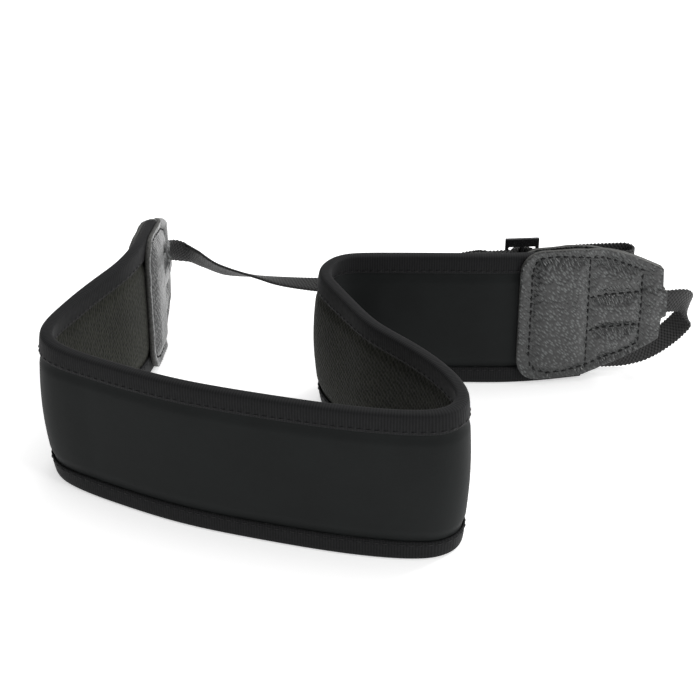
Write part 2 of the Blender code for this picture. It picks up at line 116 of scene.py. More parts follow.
FOLDS = (
    Fold(-0.086, -91, 2, 0.0),
    Fold(-0.046, -91, 3, 0.0),
    Fold(-0.015, -91, 4.8, 0.0),
    Fold(0.040, -95, 4.3, 0.0),
    Fold(0.076, -105, 0, 0.0),
    Fold(0.110, -119, -4, 0.0),
    Fold(0.149, -115, -4, 0.0),
    Fold(0.178, -106, 0, -0.3),
    Fold(0.198, -90, 0, -0.5),
    Fold(0.217, -60, 0, -0.5),
    Fold(0.236, -38, 0, -0.3),
    Fold(0.262, -30, 0, 0.0),
    Fold(0.308, -26, 0, 0.0),
    Fold(0.366, -18, 0, 0.0),
    Fold(0.428, -15, 0, 0.0),
    Fold(0.482, -8, 0, 0.0),
    Fold(0.510, 3, 0, -0.2),
    Fold(0.525, 27, 0, -0.4),
    Fold(0.541, 67, 0, -0.4),
    Fold(0.556, 97, 0, -0.3),
    Fold(0.576, 112, 0, 0.0),
    Fold(0.603, 122, 0, 0.0),
    Fold(0.648, 130, 0, 0.0),
    Fold(0.695, 115, 0, 0.2),
    Fold(0.744, 113, 0, 0.6),
    Fold(0.785, 58, 0, 0.6),
    Fold(0.812, 5, 0, 0.2),
    Fold(0.831, 0, 0, 0.0),
    Fold(0.909, -1, 0, 0.0),
    Fold(0.954, 5, 1, 0.0),
    Fold(0.985, 9, 2, 0.0),
    Fold(1.073, 9, 1.6, 0.0),
)

TAB_RISE = {
    (End.LEFT, Face.OUTER): Rise(-0.0015, 0.0),
    (End.LEFT, Face.INNER): Rise(0.0, 0.0),
    (End.RIGHT, Face.OUTER): Rise(0.0025, 0.0015),
    (End.RIGHT, Face.INNER): Rise(0.0, 0.0015),
}


def smooth_values(places: Sequence[float], values: Sequence[float], query: np.ndarray) -> np.ndarray:
    """Read a smooth curve through the values, with no overshoot between two rows.

    Args:
        places: Where the rows stand, rising.
        values: The value in each row.
        query: Where to read the curve.

    Returns:
        The value at each place of the query.
    """
    places, values = np.asarray(places, float), np.asarray(values, float)
    steps, rises = np.diff(places), np.diff(values)
    secants = rises / steps
    slopes = np.concatenate([[secants[0]], np.zeros(len(secants) - 1), [secants[-1]]])
    same_way = secants[:-1] * secants[1:] > 0
    before, after = secants[:-1][same_way], secants[1:][same_way]
    slopes[1:-1][same_way] = 2 * before * after / (before + after)
    query = np.clip(query, places[0], places[-1])
    row = np.clip(np.searchsorted(places, query, side="right") - 1, 0, len(steps) - 1)
    t = (query - places[row]) / steps[row]
    bend_in, bend_out = slopes[row] * steps[row], slopes[row + 1] * steps[row]
    return (values[row] * (1 + 2 * t) * (1 - t) ** 2 + bend_in * t * (1 - t) ** 2
            + values[row + 1] * t * t * (3 - 2 * t) + bend_out * t * t * (t - 1))


@dataclass
class Band:
    """The folded path of the band and the sizes of its flat pattern.

    Attributes:
        pad_length: Length of the pad along the folds.
        pad_width: Width of the pad, from edge to edge.
        edge_thickness: Thickness of the pad at its bound edges.
        reach: How far the path goes on past each end of the pad, for the tabs.
        level_at: The share of the pad's length where its lower edge lies on the surface.
        folds: The rows of the fold table.
        samples: The path's places and directions, worked out from the rows.
    """

    pad_length: float = 0.516
    pad_width: float = 0.062
    edge_thickness: float = 0.005
    reach: float = 0.0405
    level_at: float = 0.442
    folds: tuple[Fold, ...] = FOLDS
    samples: dict[str, np.ndarray] = field(default_factory=dict)

    def __post_init__(self) -> None:
        """Work out the path's samples from the fold table."""
        count = round((self.pad_length + 2 * self.reach) / 0.0005) + 1
        along = np.linspace(-self.reach, self.pad_length + self.reach, count)
        rows = [fold.at for fold in self.folds]
        heading, pitch, bow = (
            smooth_values(rows, [getattr(fold, column) for fold in self.folds], along / self.pad_length)
            for column in ("heading", "pitch", "bow")
        )
        heading, pitch = np.radians(heading), np.radians(pitch)
        ahead = np.stack([np.cos(heading) * np.cos(pitch), np.sin(heading) * np.cos(pitch),
                          np.sin(pitch)], axis=1)
        middle = (ahead[1:] + ahead[:-1]) / 2 * np.diff(along)[:, None]
        centre = np.concatenate([np.zeros((1, 3)), np.cumsum(middle, axis=0)])
        centre[:, 2] += self.half_width - np.interp(self.level_at * self.pad_length, along, centre[:, 2])
        self.samples = {"along": along, "heading": heading, "pitch": pitch,
                        "bow": bow * self.edge_thickness, "centre": centre}

    @property
    def half_width(self) -> float:
        """Return half the pad's width."""
        return self.pad_width / 2

    @property
    def half_edge(self) -> float:
        """Return half the thickness at the bound edges."""
        return self.edge_thickness / 2

    def read(self, column: str, along: np.ndarray) -> np.ndarray:
        """Read one column of the path's samples."""
        return np.interp(along, self.samples["along"], self.samples[column])

    def frame(self, along: np.ndarray) -> tuple[np.ndarray, np.ndarray, np.ndarray, np.ndarray]:
        """Give the path's middle point and its directions.

        Args:
            along: Distances along the band.

        Returns:
            The middle points and the directions ahead, aside and up, one row for each distance.
        """
        along = np.atleast_1d(np.asarray(along, float))
        heading, pitch = self.read("heading", along), self.read("pitch", along)
        centre = np.stack([np.interp(along, self.samples["along"], self.samples["centre"][:, axis])
                           for axis in range(3)], axis=1)
        ahead = np.stack([np.cos(heading) * np.cos(pitch), np.sin(heading) * np.cos(pitch),
                          np.sin(pitch)], axis=1)
        aside = np.stack([-np.sin(heading), np.cos(heading), np.zeros_like(heading)], axis=1)
        return centre, ahead, aside, np.cross(ahead, aside)

    def bend(self, points: np.ndarray) -> np.ndarray:
        """Bend points of the flat pattern.

        Args:
            points: Rows of (along, aside, up).

        Returns:
            Their places on the folded band.
        """
        centre, _, aside, rise = self.frame(points[:, 0])
        bow = self.read("bow", points[:, 0]) * (1 - (points[:, 2] / self.half_width) ** 2)
        return centre + aside * (points[:, 1] + bow)[:, None] + rise * points[:, 2][:, None]

    def settle(self, low: Vector, outline: np.ndarray) -> None:
        """Move the path so that an outline's lowest corner falls on that of its solid.

        Args:
            low: The solid's lowest corner.
            outline: Points of the flat pattern that reach furthest on each side.
        """
        self.samples["centre"] += np.array(low) - self.bend(outline).min(axis=0)


@dataclass(frozen=True)
class Shader:
    """A node tree with a Principled shader, and short ways to add to it."""

    material: bpy.types.Material

    @classmethod
    def new(cls, name: str) -> "Shader":
        """Make an empty material of that name."""
        material = bpy.data.materials.new(name)
        material.use_nodes = True
        return cls(material)

    @property
    def surface(self) -> bpy.types.Node:
        """Return the Principled shader."""
        return self.material.node_tree.nodes["Principled BSDF"]

    def set(self, **values: float | tuple[float, ...]) -> None:
        """Set the shader's own sockets, named in lower case with underscores."""
        for key, value in values.items():
            name = key.replace("_", " ").title().replace("Ior", "IOR")
            if isinstance(value, tuple) and len(value) == 3:
                value = (*value, 1.0)
            self.surface.inputs[name].default_value = value

    def add(self, kind: str, links: dict[str | int, bpy.types.NodeSocket] | None = None,
            values: dict[str | int, object] | None = None, **settings: object) -> bpy.types.Node:
        """Add a node.

        Args:
            kind: The node's type.
            links: Sockets that feed its inputs.
            values: Values of its inputs.
            **settings: Its properties.

        Returns:
            The new node.
        """
        tree = self.material.node_tree
        node = tree.nodes.new(kind)
        for key, value in settings.items():
            setattr(node, key, value)
        for key, value in (values or {}).items():
            node.inputs[key].default_value = value
        for key, source in (links or {}).items():
            tree.links.new(source, node.inputs[key])
        return node

    def math(self, operation: str, first: bpy.types.NodeSocket,
             second: bpy.types.NodeSocket | float | None = None) -> bpy.types.NodeSocket:
        """Add a Math node and return its result."""
        links = {0: first}
        values = {}
        if isinstance(second, (int, float)):
            values[1] = second
        elif second is not None:
            links[1] = second
        return self.add("ShaderNodeMath", links, values, operation=operation).outputs[0]

    def cloth_place(self, scale: tuple[float, float, float] = (1, 1, 1),
                    turn: float = 0.0) -> bpy.types.NodeSocket:
        """Return the piece's own flat coordinates, turned and then scaled."""
        place = self.add("ShaderNodeUVMap", uv_map="flat")
        sizes = tuple(1 / part for part in scale)
        return self.add("ShaderNodeMapping", {"Vector": place.outputs["UV"]},
                        {"Scale": sizes, "Rotation": (0, 0, turn)},
                        vector_type="TEXTURE").outputs["Vector"]

    def solid_place(self) -> bpy.types.NodeSocket:
        """Return the place in the object's own frame."""
        return self.add("ShaderNodeTexCoord").outputs["Object"]

    def mottled(self, place: bpy.types.NodeSocket, scale: float, detail: float = 3.0,
                roughness: float = 0.55) -> bpy.types.NodeSocket:
        """Return a cloudy noise."""
        node = self.add("ShaderNodeTexNoise", {"Vector": place},
                        {"Scale": scale, "Detail": detail, "Roughness": roughness})
        return node.outputs["Fac"]

    def ramp(self, factor: bpy.types.NodeSocket,
             stops: Sequence[tuple[float, tuple[float, float, float]]]) -> bpy.types.NodeSocket:
        """Return colours read from a ramp."""
        node = self.add("ShaderNodeValToRGB", {"Fac": factor})
        band = node.color_ramp
        while len(band.elements) < len(stops):
            band.elements.new(0.5)
        for element, (place, colour) in zip(band.elements, stops):
            element.position = place
            element.color = (*colour, 1.0)
        return node.outputs["Color"]

    def span(self, factor: bpy.types.NodeSocket, low: float, high: float) -> bpy.types.NodeSocket:
        """Return the factor spread between two values."""
        return self.add("ShaderNodeMapRange", {"Value": factor},
                        {"From Min": 0.25, "From Max": 0.75, "To Min": low, "To Max": high}).outputs[0]

    def feed(self, name: str, source: bpy.types.NodeSocket) -> None:
        """Link a pattern into one of the shader's inputs."""
        self.material.node_tree.links.new(source, self.surface.inputs[name])

    def raise_by(self, height: bpy.types.NodeSocket, depth: float, strength: float = 1.0,
                 below: bpy.types.NodeSocket | None = None) -> bpy.types.NodeSocket:
        """Turn a height pattern into relief and feed it to the shader.

        Args:
            height: The pattern.
            depth: Its depth in metres.
            strength: How strongly it shows.
            below: A relief that this one lies on.

        Returns:
            The relief's normal.
        """
        links = {"Height": height}
        if below is not None:
            links["Normal"] = below
        bump = self.add("ShaderNodeBump", links, {"Distance": depth, "Strength": strength})
        self.feed("Normal", bump.outputs["Normal"])
        return bump.outputs["Normal"]


@dataclass(frozen=True)
class NeopreneFinish:
    """Smooth black knit face of the foam pad."""

    name: str = "neoprene"
    dark: tuple[float, float, float] = (0.0060, 0.0070, 0.0070)
    light: tuple[float, float, float] = (0.0100, 0.0115, 0.0115)

    def material(self) -> bpy.types.Material:
        """Make the material: a fine knit with slow changes of tone."""
        shader = Shader.new(self.name)
        shader.set(specular_ior_level=0.14, sheen_weight=0.03, sheen_roughness=0.45)
        cloudy = shader.mottled(shader.solid_place(), 38.0, 4.0)
        shader.feed("Base Color", shader.ramp(cloudy, ((0.3, self.dark), (0.7, self.light))))
        shader.feed("Roughness", shader.span(cloudy, 0.62, 0.74))
        knit = shader.add("ShaderNodeTexVoronoi", {"Vector": shader.cloth_place((1.0, 0.7, 1.0))},
                          {"Scale": 2100.0, "Randomness": 0.55}).outputs["Distance"]
        relief = shader.raise_by(knit, 0.00005, 0.35)
        shader.raise_by(shader.mottled(shader.solid_place(), 150.0, 2.0), 0.00035, 0.22, relief)
        return shader.material


@dataclass(frozen=True)
class MeshFinish:
    """Coarse waffle mesh of the grip lining, with dark holes between its cords."""

    name: str = "grip_mesh"
    hole: tuple[float, float, float] = (0.002, 0.002, 0.0016)
    cord: tuple[float, float, float] = (0.030, 0.031, 0.022)
    cell: float = 0.0012
    slant: float = math.radians(35)
    rubbed: tuple[float, float, float] = (0.009, 0.0095, 0.0075)

    def material(self) -> bpy.types.Material:
        """Make the material: slanting rows of small cells."""
        shader = Shader.new(self.name)
        shader.set(specular_ior_level=0.15, sheen_weight=0.04, sheen_roughness=0.5, roughness=0.82)
        cells = shader.add("ShaderNodeTexVoronoi",
                           {"Vector": shader.cloth_place((1.0, 0.6, 1.0), self.slant)},
                           {"Scale": 1 / self.cell, "Randomness": 0.42}).outputs["Distance"]
        worn = shader.mottled(shader.solid_place(), 60.0, 4.0)
        fuzz = shader.mottled(shader.solid_place(), 900.0, 2.0)
        mixed = shader.math("ADD", cells, shader.math("MULTIPLY", fuzz, 0.15))
        tone = shader.ramp(mixed, ((0.16, self.hole), (0.62, self.cord)))
        shade = shader.add("ShaderNodeMixRGB", {"Fac": worn, "Color1": tone},
                           {"Color2": (*self.rubbed, 1.0)}).outputs["Color"]
        shader.feed("Base Color", shade)
        shader.raise_by(cells, 0.00055, 0.9)
        return shader.material


@dataclass(frozen=True)
class TapeFinish:
    """Stretch tape of the bound edges, with fine cross ribs."""

    name: str = "binding"
    groove: tuple[float, float, float] = (0.0055, 0.0058, 0.0060)
    rib: tuple[float, float, float] = (0.0125, 0.0125, 0.0135)
    pitch: float = 0.00105

    def material(self) -> bpy.types.Material:
        """Make the material: ribs across the tape and a fuzz over them."""
        shader = Shader.new(self.name)
        shader.set(specular_ior_level=0.16, sheen_weight=0.05, sheen_roughness=0.40)
        place = shader.cloth_place()
        ribs = shader.add("ShaderNodeTexWave", {"Vector": place},
                          {"Scale": math.tau / 20 / self.pitch, "Distortion": 0.6, "Detail": 1.0,
                           "Detail Scale": 2.0}, bands_direction="X").outputs["Fac"]
        fuzz = shader.mottled(shader.solid_place(), 700.0, 3.0)
        mixed = shader.math("ADD", shader.math("MULTIPLY", ribs, 0.6), shader.math("MULTIPLY", fuzz, 0.4))
        shader.feed("Base Color", shader.ramp(mixed, ((0.25, self.groove), (0.72, self.rib))))
        shader.feed("Roughness", shader.span(fuzz, 0.68, 0.86))
        relief = shader.raise_by(ribs, 0.00010, 0.4)
        shader.raise_by(fuzz, 0.00010, 0.4, relief)
        return shader.material


@dataclass(frozen=True)
class LeatherFinish:
    """Pebbled dark grey leather with a slanting grain."""

    name: str = "leather"
    # Pebble valley colour: the grain's own tone with painted shade in its hollows
    shaded_valley: tuple[float, float, float] = (0.003, 0.0035, 0.0035)
    crown: tuple[float, float, float] = (0.096, 0.103, 0.101)
    # groove: the colour of the painted shade near the seams
    groove: tuple[float, float, float] = (0.010, 0.0115, 0.011)
    pebble: float = 0.0023
    slant: float = math.radians(-52)

    def material(self) -> bpy.types.Material:
        """Make the material: pebbles drawn out along the slant, with painted shade near the seams and in
        the pebbles' valleys.
        """
        shader = Shader.new(self.name)
        shader.set(specular_ior_level=0.55, coat_weight=0.15, coat_roughness=0.30)
        wander = shader.add("ShaderNodeTexNoise", {"Vector": shader.cloth_place()},
                            {"Scale": 260.0, "Detail": 2.0}).outputs["Color"]
        place = shader.add("ShaderNodeMixRGB",
                           {"Color1": shader.cloth_place((1.0, 2.4, 1.0), self.slant), "Color2": wander},
                           {"Fac": 0.0012}).outputs["Color"]
        cells = shader.add("ShaderNodeTexVoronoi", {"Vector": place},
                           {"Scale": 1 / self.pebble, "Randomness": 0.85}, feature="F1").outputs["Distance"]
        crowns = shader.math("ADD", shader.math("MULTIPLY", cells, -1.0), 1.0)
        worn = shader.mottled(shader.solid_place(), 120.0, 4.0)
        mixed = shader.math("ADD", shader.math("MULTIPLY", crowns, 0.72),
                            shader.math("MULTIPLY", worn, 0.3))
        # Grain tone from crown to valley, with painted shade in the valleys between the pebbles
        tone = shader.ramp(mixed, ((0.52, self.shaded_valley), (0.80, self.crown)))
        # Painted shade: the "groove" attribute darkens the leather near its seams
        seam_shade = shader.add("ShaderNodeAttribute", attribute_name="groove").outputs["Fac"]
        shade = shader.add("ShaderNodeMixRGB", {"Fac": seam_shade, "Color1": tone},
                           {"Color2": (*self.groove, 1.0)}).outputs["Color"]
        shader.feed("Base Color", shade)
        shader.feed("Roughness", shader.span(worn, 0.24, 0.38))
        relief = shader.raise_by(crowns, 0.00050, 0.9)
        shader.raise_by(shader.mottled(shader.solid_place(), 2200.0, 2.0), 0.00006, 0.35, relief)
        return shader.material


@dataclass(frozen=True)
class CutEdgeFinish:
    """Pale raw edge of the cut leather."""

    name: str = "leather_edge"
    dark: tuple[float, float, float] = (0.035, 0.035, 0.033)
    pale: tuple[float, float, float] = (0.12, 0.12, 0.115)

    def material(self) -> bpy.types.Material:
        """Make the material: fibrous layers between dark and pale."""
        shader = Shader.new(self.name)
        shader.set(specular_ior_level=0.3)
        fibres = shader.mottled(shader.solid_place(), 1100.0, 4.0, 0.7)
        shader.feed("Base Color", shader.ramp(fibres, ((0.3, self.dark), (0.7, self.pale))))
        shader.feed("Roughness", shader.span(fibres, 0.65, 0.85))
        shader.raise_by(fibres, 0.00012, 0.6)
        return shader.material


@dataclass(frozen=True)
class WeaveFinish:
    """Close checkered weave of the black nylon webbing."""

    name: str = "webbing"
    gap: tuple[float, float, float] = (0.0040, 0.0040, 0.0040)
    yarn: tuple[float, float, float] = (0.034, 0.034, 0.034)
    pitch: float = 0.00165
    cell: float = 0.0022

    def material(self) -> bpy.types.Material:
        """Make the material: yarns that cross over and under each other."""
        shader = Shader.new(self.name)
        shader.set(specular_ior_level=0.30, sheen_weight=0.04, sheen_roughness=0.4)
        parts = shader.add("ShaderNodeSeparateXYZ", {"Vector": shader.cloth_place()})
        picks = shader.math("SINE", shader.math("MULTIPLY", parts.outputs["X"], math.tau / self.pitch))
        ends = shader.math("SINE", shader.math("MULTIPLY", parts.outputs["Y"], math.tau / self.cell))
        checks = shader.math("MULTIPLY", picks, ends)
        weave = shader.math("MULTIPLY", shader.math("ADD", checks, 1.0), 0.5)
        fuzz = shader.mottled(shader.solid_place(), 1500.0, 2.0)
        tone = shader.math("ADD", weave, shader.math("MULTIPLY", fuzz, 0.25))
        shader.feed("Base Color", shader.ramp(tone, ((0.22, self.gap), (0.95, self.yarn))))
        shader.feed("Roughness", shader.span(fuzz, 0.45, 0.68))
        shader.raise_by(weave, 0.00035, 0.8)
        return shader.material


@dataclass(frozen=True)
class MouldedFinish:
    """Glossy black moulded plastic of the sliders."""

    name: str = "slider"
    colour: tuple[float, float, float] = (0.010, 0.010, 0.011)

    def material(self) -> bpy.types.Material:
        """Make the material: near black, with faint handling marks in its gloss."""
        shader = Shader.new(self.name)
        shader.set(base_color=self.colour, specular_ior_level=0.5, coat_weight=0.35,
                   coat_roughness=0.12)
        marks = shader.mottled(shader.solid_place(), 420.0, 5.0, 0.7)
        shader.feed("Roughness", shader.span(marks, 0.16, 0.32))
        shader.raise_by(shader.mottled(shader.solid_place(), 1600.0, 2.0), 0.00002, 0.3)
        return shader.material


@dataclass(frozen=True)
class ThreadFinish:
    """Dark sewing thread."""

    name: str = "thread"
    colour: tuple[float, float, float] = (0.004, 0.004, 0.004)
    shine: tuple[float, float, float] = (0.016, 0.016, 0.017)

    def material(self) -> bpy.types.Material:
        """Make the material: dark thread with random flecks of painted sheen."""
        shader = Shader.new(self.name)
        shader.set(specular_ior_level=0.25)
        # Random flecks that mix in the shine colour: painted sheen on the thread
        sheen_flecks = shader.mottled(shader.solid_place(), 2600.0, 2.0)
        shader.feed("Base Color", shader.ramp(sheen_flecks, ((0.3, self.colour), (0.7, self.shine))))
        shader.feed("Roughness", shader.span(sheen_flecks, 0.5, 0.7))
        return shader.material


class Finishes:
    """The strap's materials, each made once."""

    def __init__(self) -> None:
        """Start with nothing made."""
        self.made: dict[str, bpy.types.Material] = {}

    def get(self, finish: object) -> bpy.types.Material:
        """Return a finish's material, and make it the first time."""
        if finish.name not in self.made:
            self.made[finish.name] = finish.material()
        return self.made[finish.name]


def note_flat(mesh: bmesh.types.BMesh, read: Callable[[Vector], tuple[float, float]]) -> None:
    """Write each corner's place on the flat pattern into the mesh's own map.

    Args:
        mesh: The mesh, still flat.
        read: Gives the two flat coordinates of a corner.
    """
    layer = mesh.loops.layers.uv.new("flat")
    for face in mesh.faces:
        for loop in face.loops:
            loop[layer].uv = read(loop.vert.co)


def move_corners(mesh: bmesh.types.BMesh, change: Callable[[np.ndarray], np.ndarray]) -> None:
    """Move all corners of a mesh at once.

    Args:
        mesh: The mesh.
        change: Turns rows of old places into rows of new ones.
    """
    places = change(np.array([corner.co for corner in mesh.verts]))
    for corner, place in zip(mesh.verts, places):
        corner.co = place


def swept(section: Sequence[tuple[float, float]], start: float, end: float,
          step: float) -> bmesh.types.BMesh:
    """Pull an (aside, up) section along the flat pattern.

    Args:
        section: The closed section.
        start: Where it starts.
        end: Where it ends.
        step: The longest step between two sections.

    Returns:
        A closed flat mesh.
    """
    mesh = bmesh.new()
    mesh.faces.new([mesh.verts.new((start, aside, up)) for aside, up in section])
    pulled = bmesh.ops.extrude_face_region(mesh, geom=mesh.faces[:])["geom"]
    corners = [item for item in pulled if isinstance(item, bmesh.types.BMVert)]
    bmesh.ops.translate(mesh, verts=corners, vec=(end - start, 0, 0))
    long_edges = [edge for edge in mesh.edges if abs(edge.verts[0].co.x - edge.verts[1].co.x) > step]
    cuts = max(1, round((end - start) / step) - 1)
    bmesh.ops.subdivide_edges(mesh, edges=long_edges, cuts=cuts, use_grid_fill=True)
    bmesh.ops.recalc_face_normals(mesh, faces=mesh.faces[:])
    return mesh


def sliced(mesh: bmesh.types.BMesh, cuts: Sequence[float], axis: tuple[int, int, int]) -> None:
    """Cut a mesh by planes across one axis."""
    for cut in cuts:
        geometry = mesh.verts[:] + mesh.edges[:] + mesh.faces[:]
        bmesh.ops.bisect_plane(mesh, geom=geometry, dist=1e-7, plane_co=Vector(axis) * cut,
                               plane_no=axis)


def show_piece(name: str, mesh: bmesh.types.BMesh, materials: Sequence[bpy.types.Material],
               stands_for: Sequence[str] = (), smooth: bool = True) -> bpy.types.Object:
    """Turn a finished mesh into a piece of the strap.

    Args:
        name: The piece's name.
        mesh: Its mesh, in place.
        materials: Its materials.
        stands_for: The solids that it replaces.
        smooth: Whether its faces are shaded smooth.

    Returns:
        The new object.
    """
    for face in mesh.faces:
        face.smooth = smooth
    data = bpy.data.meshes.new(name)
    mesh.to_mesh(data)
    mesh.free()
    for material in materials:
        data.materials.append(material)
    piece = bpy.data.objects.new(name, data)
    bpy.context.scene.collection.objects.link(piece)
    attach(piece, "root")
    if stands_for:
        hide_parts(*stands_for)
    LOG.info("%s: %d faces", name, len(data.polygons))
    return piece


@dataclass
class Stitching:
    """A row of stitches, each a short bar of thread.

    Attributes:
        pitch: Distance from stitch to stitch.
        length: Length of one stitch.
        thickness: Thickness of the thread.
        proud: How far the thread's middle stands above the surface it lies on.
    """

    pitch: float = 0.0032
    length: float = 0.0024
    thickness: float = 0.0005
    proud: float = 0.00008

    def sew(self, mesh: bmesh.types.BMesh, line: Sequence[tuple[float, float]],
            surface: Callable[[float, float], float]) -> None:
        """Lay stitches along a line of the flat pattern.

        Args:
            mesh: The mesh that takes them.
            line: Points of (along, up).
            surface: Gives the surface's `aside` at a point of the line.
        """
        points = [Vector(point) for point in line]
        runs = [(b - a).length for a, b in zip(points, points[1:])]
        knots = np.concatenate([[0], np.cumsum(runs)])
        places = np.arange(self.pitch / 2, knots[-1], self.pitch)
        xs = np.interp(places, knots, [point.x for point in points])
        ys = np.interp(places, knots, [point.y for point in points])
        for x, y, place in zip(xs, ys, places):
            index = min(int(np.searchsorted(knots, place)) - 1, len(runs) - 1)
            way = (points[index + 1] - points[index]).normalized()
            aside = surface(float(x), float(y))
            lift = math.copysign(self.proud, aside)
            turn = Matrix(((way.x, 0, -way.y, 0), (0, 1, 0, 0), (way.y, 0, way.x, 0), (0, 0, 0, 1)))
            size = Matrix.Diagonal((self.length / 2, self.thickness / 2, self.thickness / 2, 1))
            bmesh.ops.create_uvsphere(mesh, u_segments=6, v_segments=4, radius=1.0,
                                      matrix=Matrix.Translation((x, aside + lift, y)) @ turn @ size)


@dataclass
class PaddedBand:
    """The foam pad, its grip lining and its two bound edges.

    Attributes:
        band: The folded path.
        finishes: The strap's materials.
        swell: How far the pad stands out between its bound edges.
        swell_run: How far from the tape it takes to swell.
        lining: Thickness of the grip lining.
        tape: Thickness of the binding tape.
        flap: How far the tape reaches over the pad's faces.
        rim: Radius of the tape's rounded edge.
        clearance: The gap between two pieces.
        step: The longest step of the mesh along the band.
    """

    band: Band
    finishes: Finishes
    swell: float = 0.0010
    swell_run: float = 0.005
    lining: float = 0.0010
    tape: float = 0.0008
    flap: float = 0.008
    rim: float = 0.0019
    clearance: float = 0.0003
    step: float = 0.00125

    def side(self, aside: float, swell: float) -> list[tuple[float, float]]:
        """Give one face of the pad from its lower to its upper edge.

        Args:
            aside: Where the face lies under the tape.
            swell: How far it swells between the tapes.

        Returns:
            Points of (aside, up).
        """
        edge = self.band.half_width - self.tape - self.clearance
        under_tape = self.band.half_width - self.flap - self.clearance
        rise = [(1 - math.cos(math.pi * share)) / 2 for share in np.linspace(0, 1, 7)]
        run = np.linspace(under_tape, under_tape - self.swell_run, 7)
        lower = [(aside, -edge)] + [(aside + swell * 0.9 * part, -up) for up, part in zip(run, rise)]
        crown = [(aside + swell * (0.9 + 0.1 * math.cos(up / run[-1] * math.pi / 2)), up)
                 for up in np.linspace(-run[-1] * 0.75, run[-1] * 0.75, 7)]
        return lower + crown + [(aside, -up) for aside, up in reversed(lower)]

    def outline(self) -> np.ndarray:
        """Return the core's outline at many places, to line the band up with its solid."""
        inside = self.band.half_edge - self.tape - self.clearance
        edge = self.band.half_width - self.tape - self.clearance
        return np.array([(along, aside, up) for along in np.linspace(0, self.band.pad_length, 420)
                         for aside, up in ((-inside - self.swell, 0.0), (-inside, -edge))])

    def ripple(self, points: np.ndarray, swell: float) -> np.ndarray:
        """Add the soft unevenness of foam to points of the flat pattern."""
        inner = np.clip(1 - (np.abs(points[:, 2]) / (self.band.half_width - self.flap)) ** 4, 0, 1)
        waves = np.array([noise.noise(Vector((x * 22, z * 30, 3.0 + y * 4))) for x, y, z in points])
        points[:, 1] += waves * inner * swell
        return points

    def build_core(self) -> bpy.types.Object:
        """Make the foam pad and return it."""
        inside = self.band.half_edge - self.tape - self.clearance
        seam = inside - self.lining - self.clearance
        section = self.side(-inside, -self.swell) + self.side(seam, self.swell)[::-1]
        mesh = swept(section, 0.0, self.band.pad_length, self.step)
        note_flat(mesh, lambda spot: (spot.x, spot.z))
        move_corners(mesh, lambda spots: self.band.bend(self.ripple(spots, 0.00022)))
        pad = show_piece("foam_pad", mesh, [self.finishes.get(NeopreneFinish())], ["neck_pad"])
        return pad

    def build_lining(self) -> bpy.types.Object:
        """Make the mesh cloth on the pad's inner side and return it.


        Returns:
            The lining.
        """
        inside = self.band.half_edge - self.tape - self.clearance
        back = self.side(inside - self.lining, self.swell)
        front = self.side(inside, self.swell)
        mesh = swept(back + front[::-1], 0.0, self.band.pad_length, self.step)
        note_flat(mesh, lambda spot: (spot.x, spot.z))
        move_corners(mesh, lambda spots: self.band.bend(self.ripple(spots, 0.00022)))
        lining = show_piece("mesh_lining", mesh, [self.finishes.get(MeshFinish())],
                            ["grip_lining"])
        return lining

    def build_binding(self, name: str, node: str, way: int) -> bpy.types.Object:
        """Make the tape folded over one long edge.

        Args:
            name: The piece's name.
            node: The solid that it stands for.
            way: 1 for the upper edge, -1 for the lower one.

        Returns:
            The tape.
        """
        half, inner = self.band.half_edge, self.band.half_edge - self.tape
        turns = np.linspace(0, math.pi / 2, 6)
        corner = [(half - self.rim + self.rim * math.cos(turn), self.rim * 0.62 * (1 - math.sin(turn)))
                  for turn in turns]
        outer = [(half, self.flap - 0.0003), (half, self.flap * 0.7), (half + 0.00008, self.flap * 0.4)]
        outer = [(half - 0.0003, self.flap)] + outer + corner
        hollow = [(inner + 0.0001, self.flap), (inner, self.flap * 0.5), (inner, self.tape)]
        section = outer + [(-aside, depth) for aside, depth in reversed(outer)]
        section += [(-aside, depth) for aside, depth in hollow] + list(reversed(hollow))
        placed = [(aside, way * (self.band.half_width - depth)) for aside, depth in section]
        mesh = swept(placed, 0.0, self.band.pad_length, self.step)
        note_flat(mesh, lambda spot: (spot.x, spot.z))
        move_corners(mesh, self.band.bend)
        return show_piece(name, mesh, [self.finishes.get(TapeFinish())], [node])

    def build_stitches(self) -> bpy.types.Object:
        """Sew the stitches near the inner edge of each flap and return them."""
        mesh = bmesh.new()
        stitching = Stitching(pitch=0.0031, length=0.0022, thickness=0.0005)
        depth = self.band.half_width - self.flap + 0.0011
        for face in Face:
            for way in (-1, 1):
                line = [(0.001, way * depth), (self.band.pad_length - 0.001, way * depth)]
                stitching.sew(mesh, line, lambda along, up, face=face: face.value * self.band.half_edge)
        note_flat(mesh, lambda spot: (spot.x, spot.z))
        move_corners(mesh, self.band.bend)
        return show_piece("edge_stitches", mesh, [self.finishes.get(ThreadFinish())])

    def build(self) -> None:
        """Make all the band's pieces."""
        pad = self.build_core()
        self.build_lining()
        self.build_binding("bottom_edge_tape", "bottom_binding", -1)
        self.build_binding("top_edge_tape", "top_binding", 1)
        self.build_stitches()


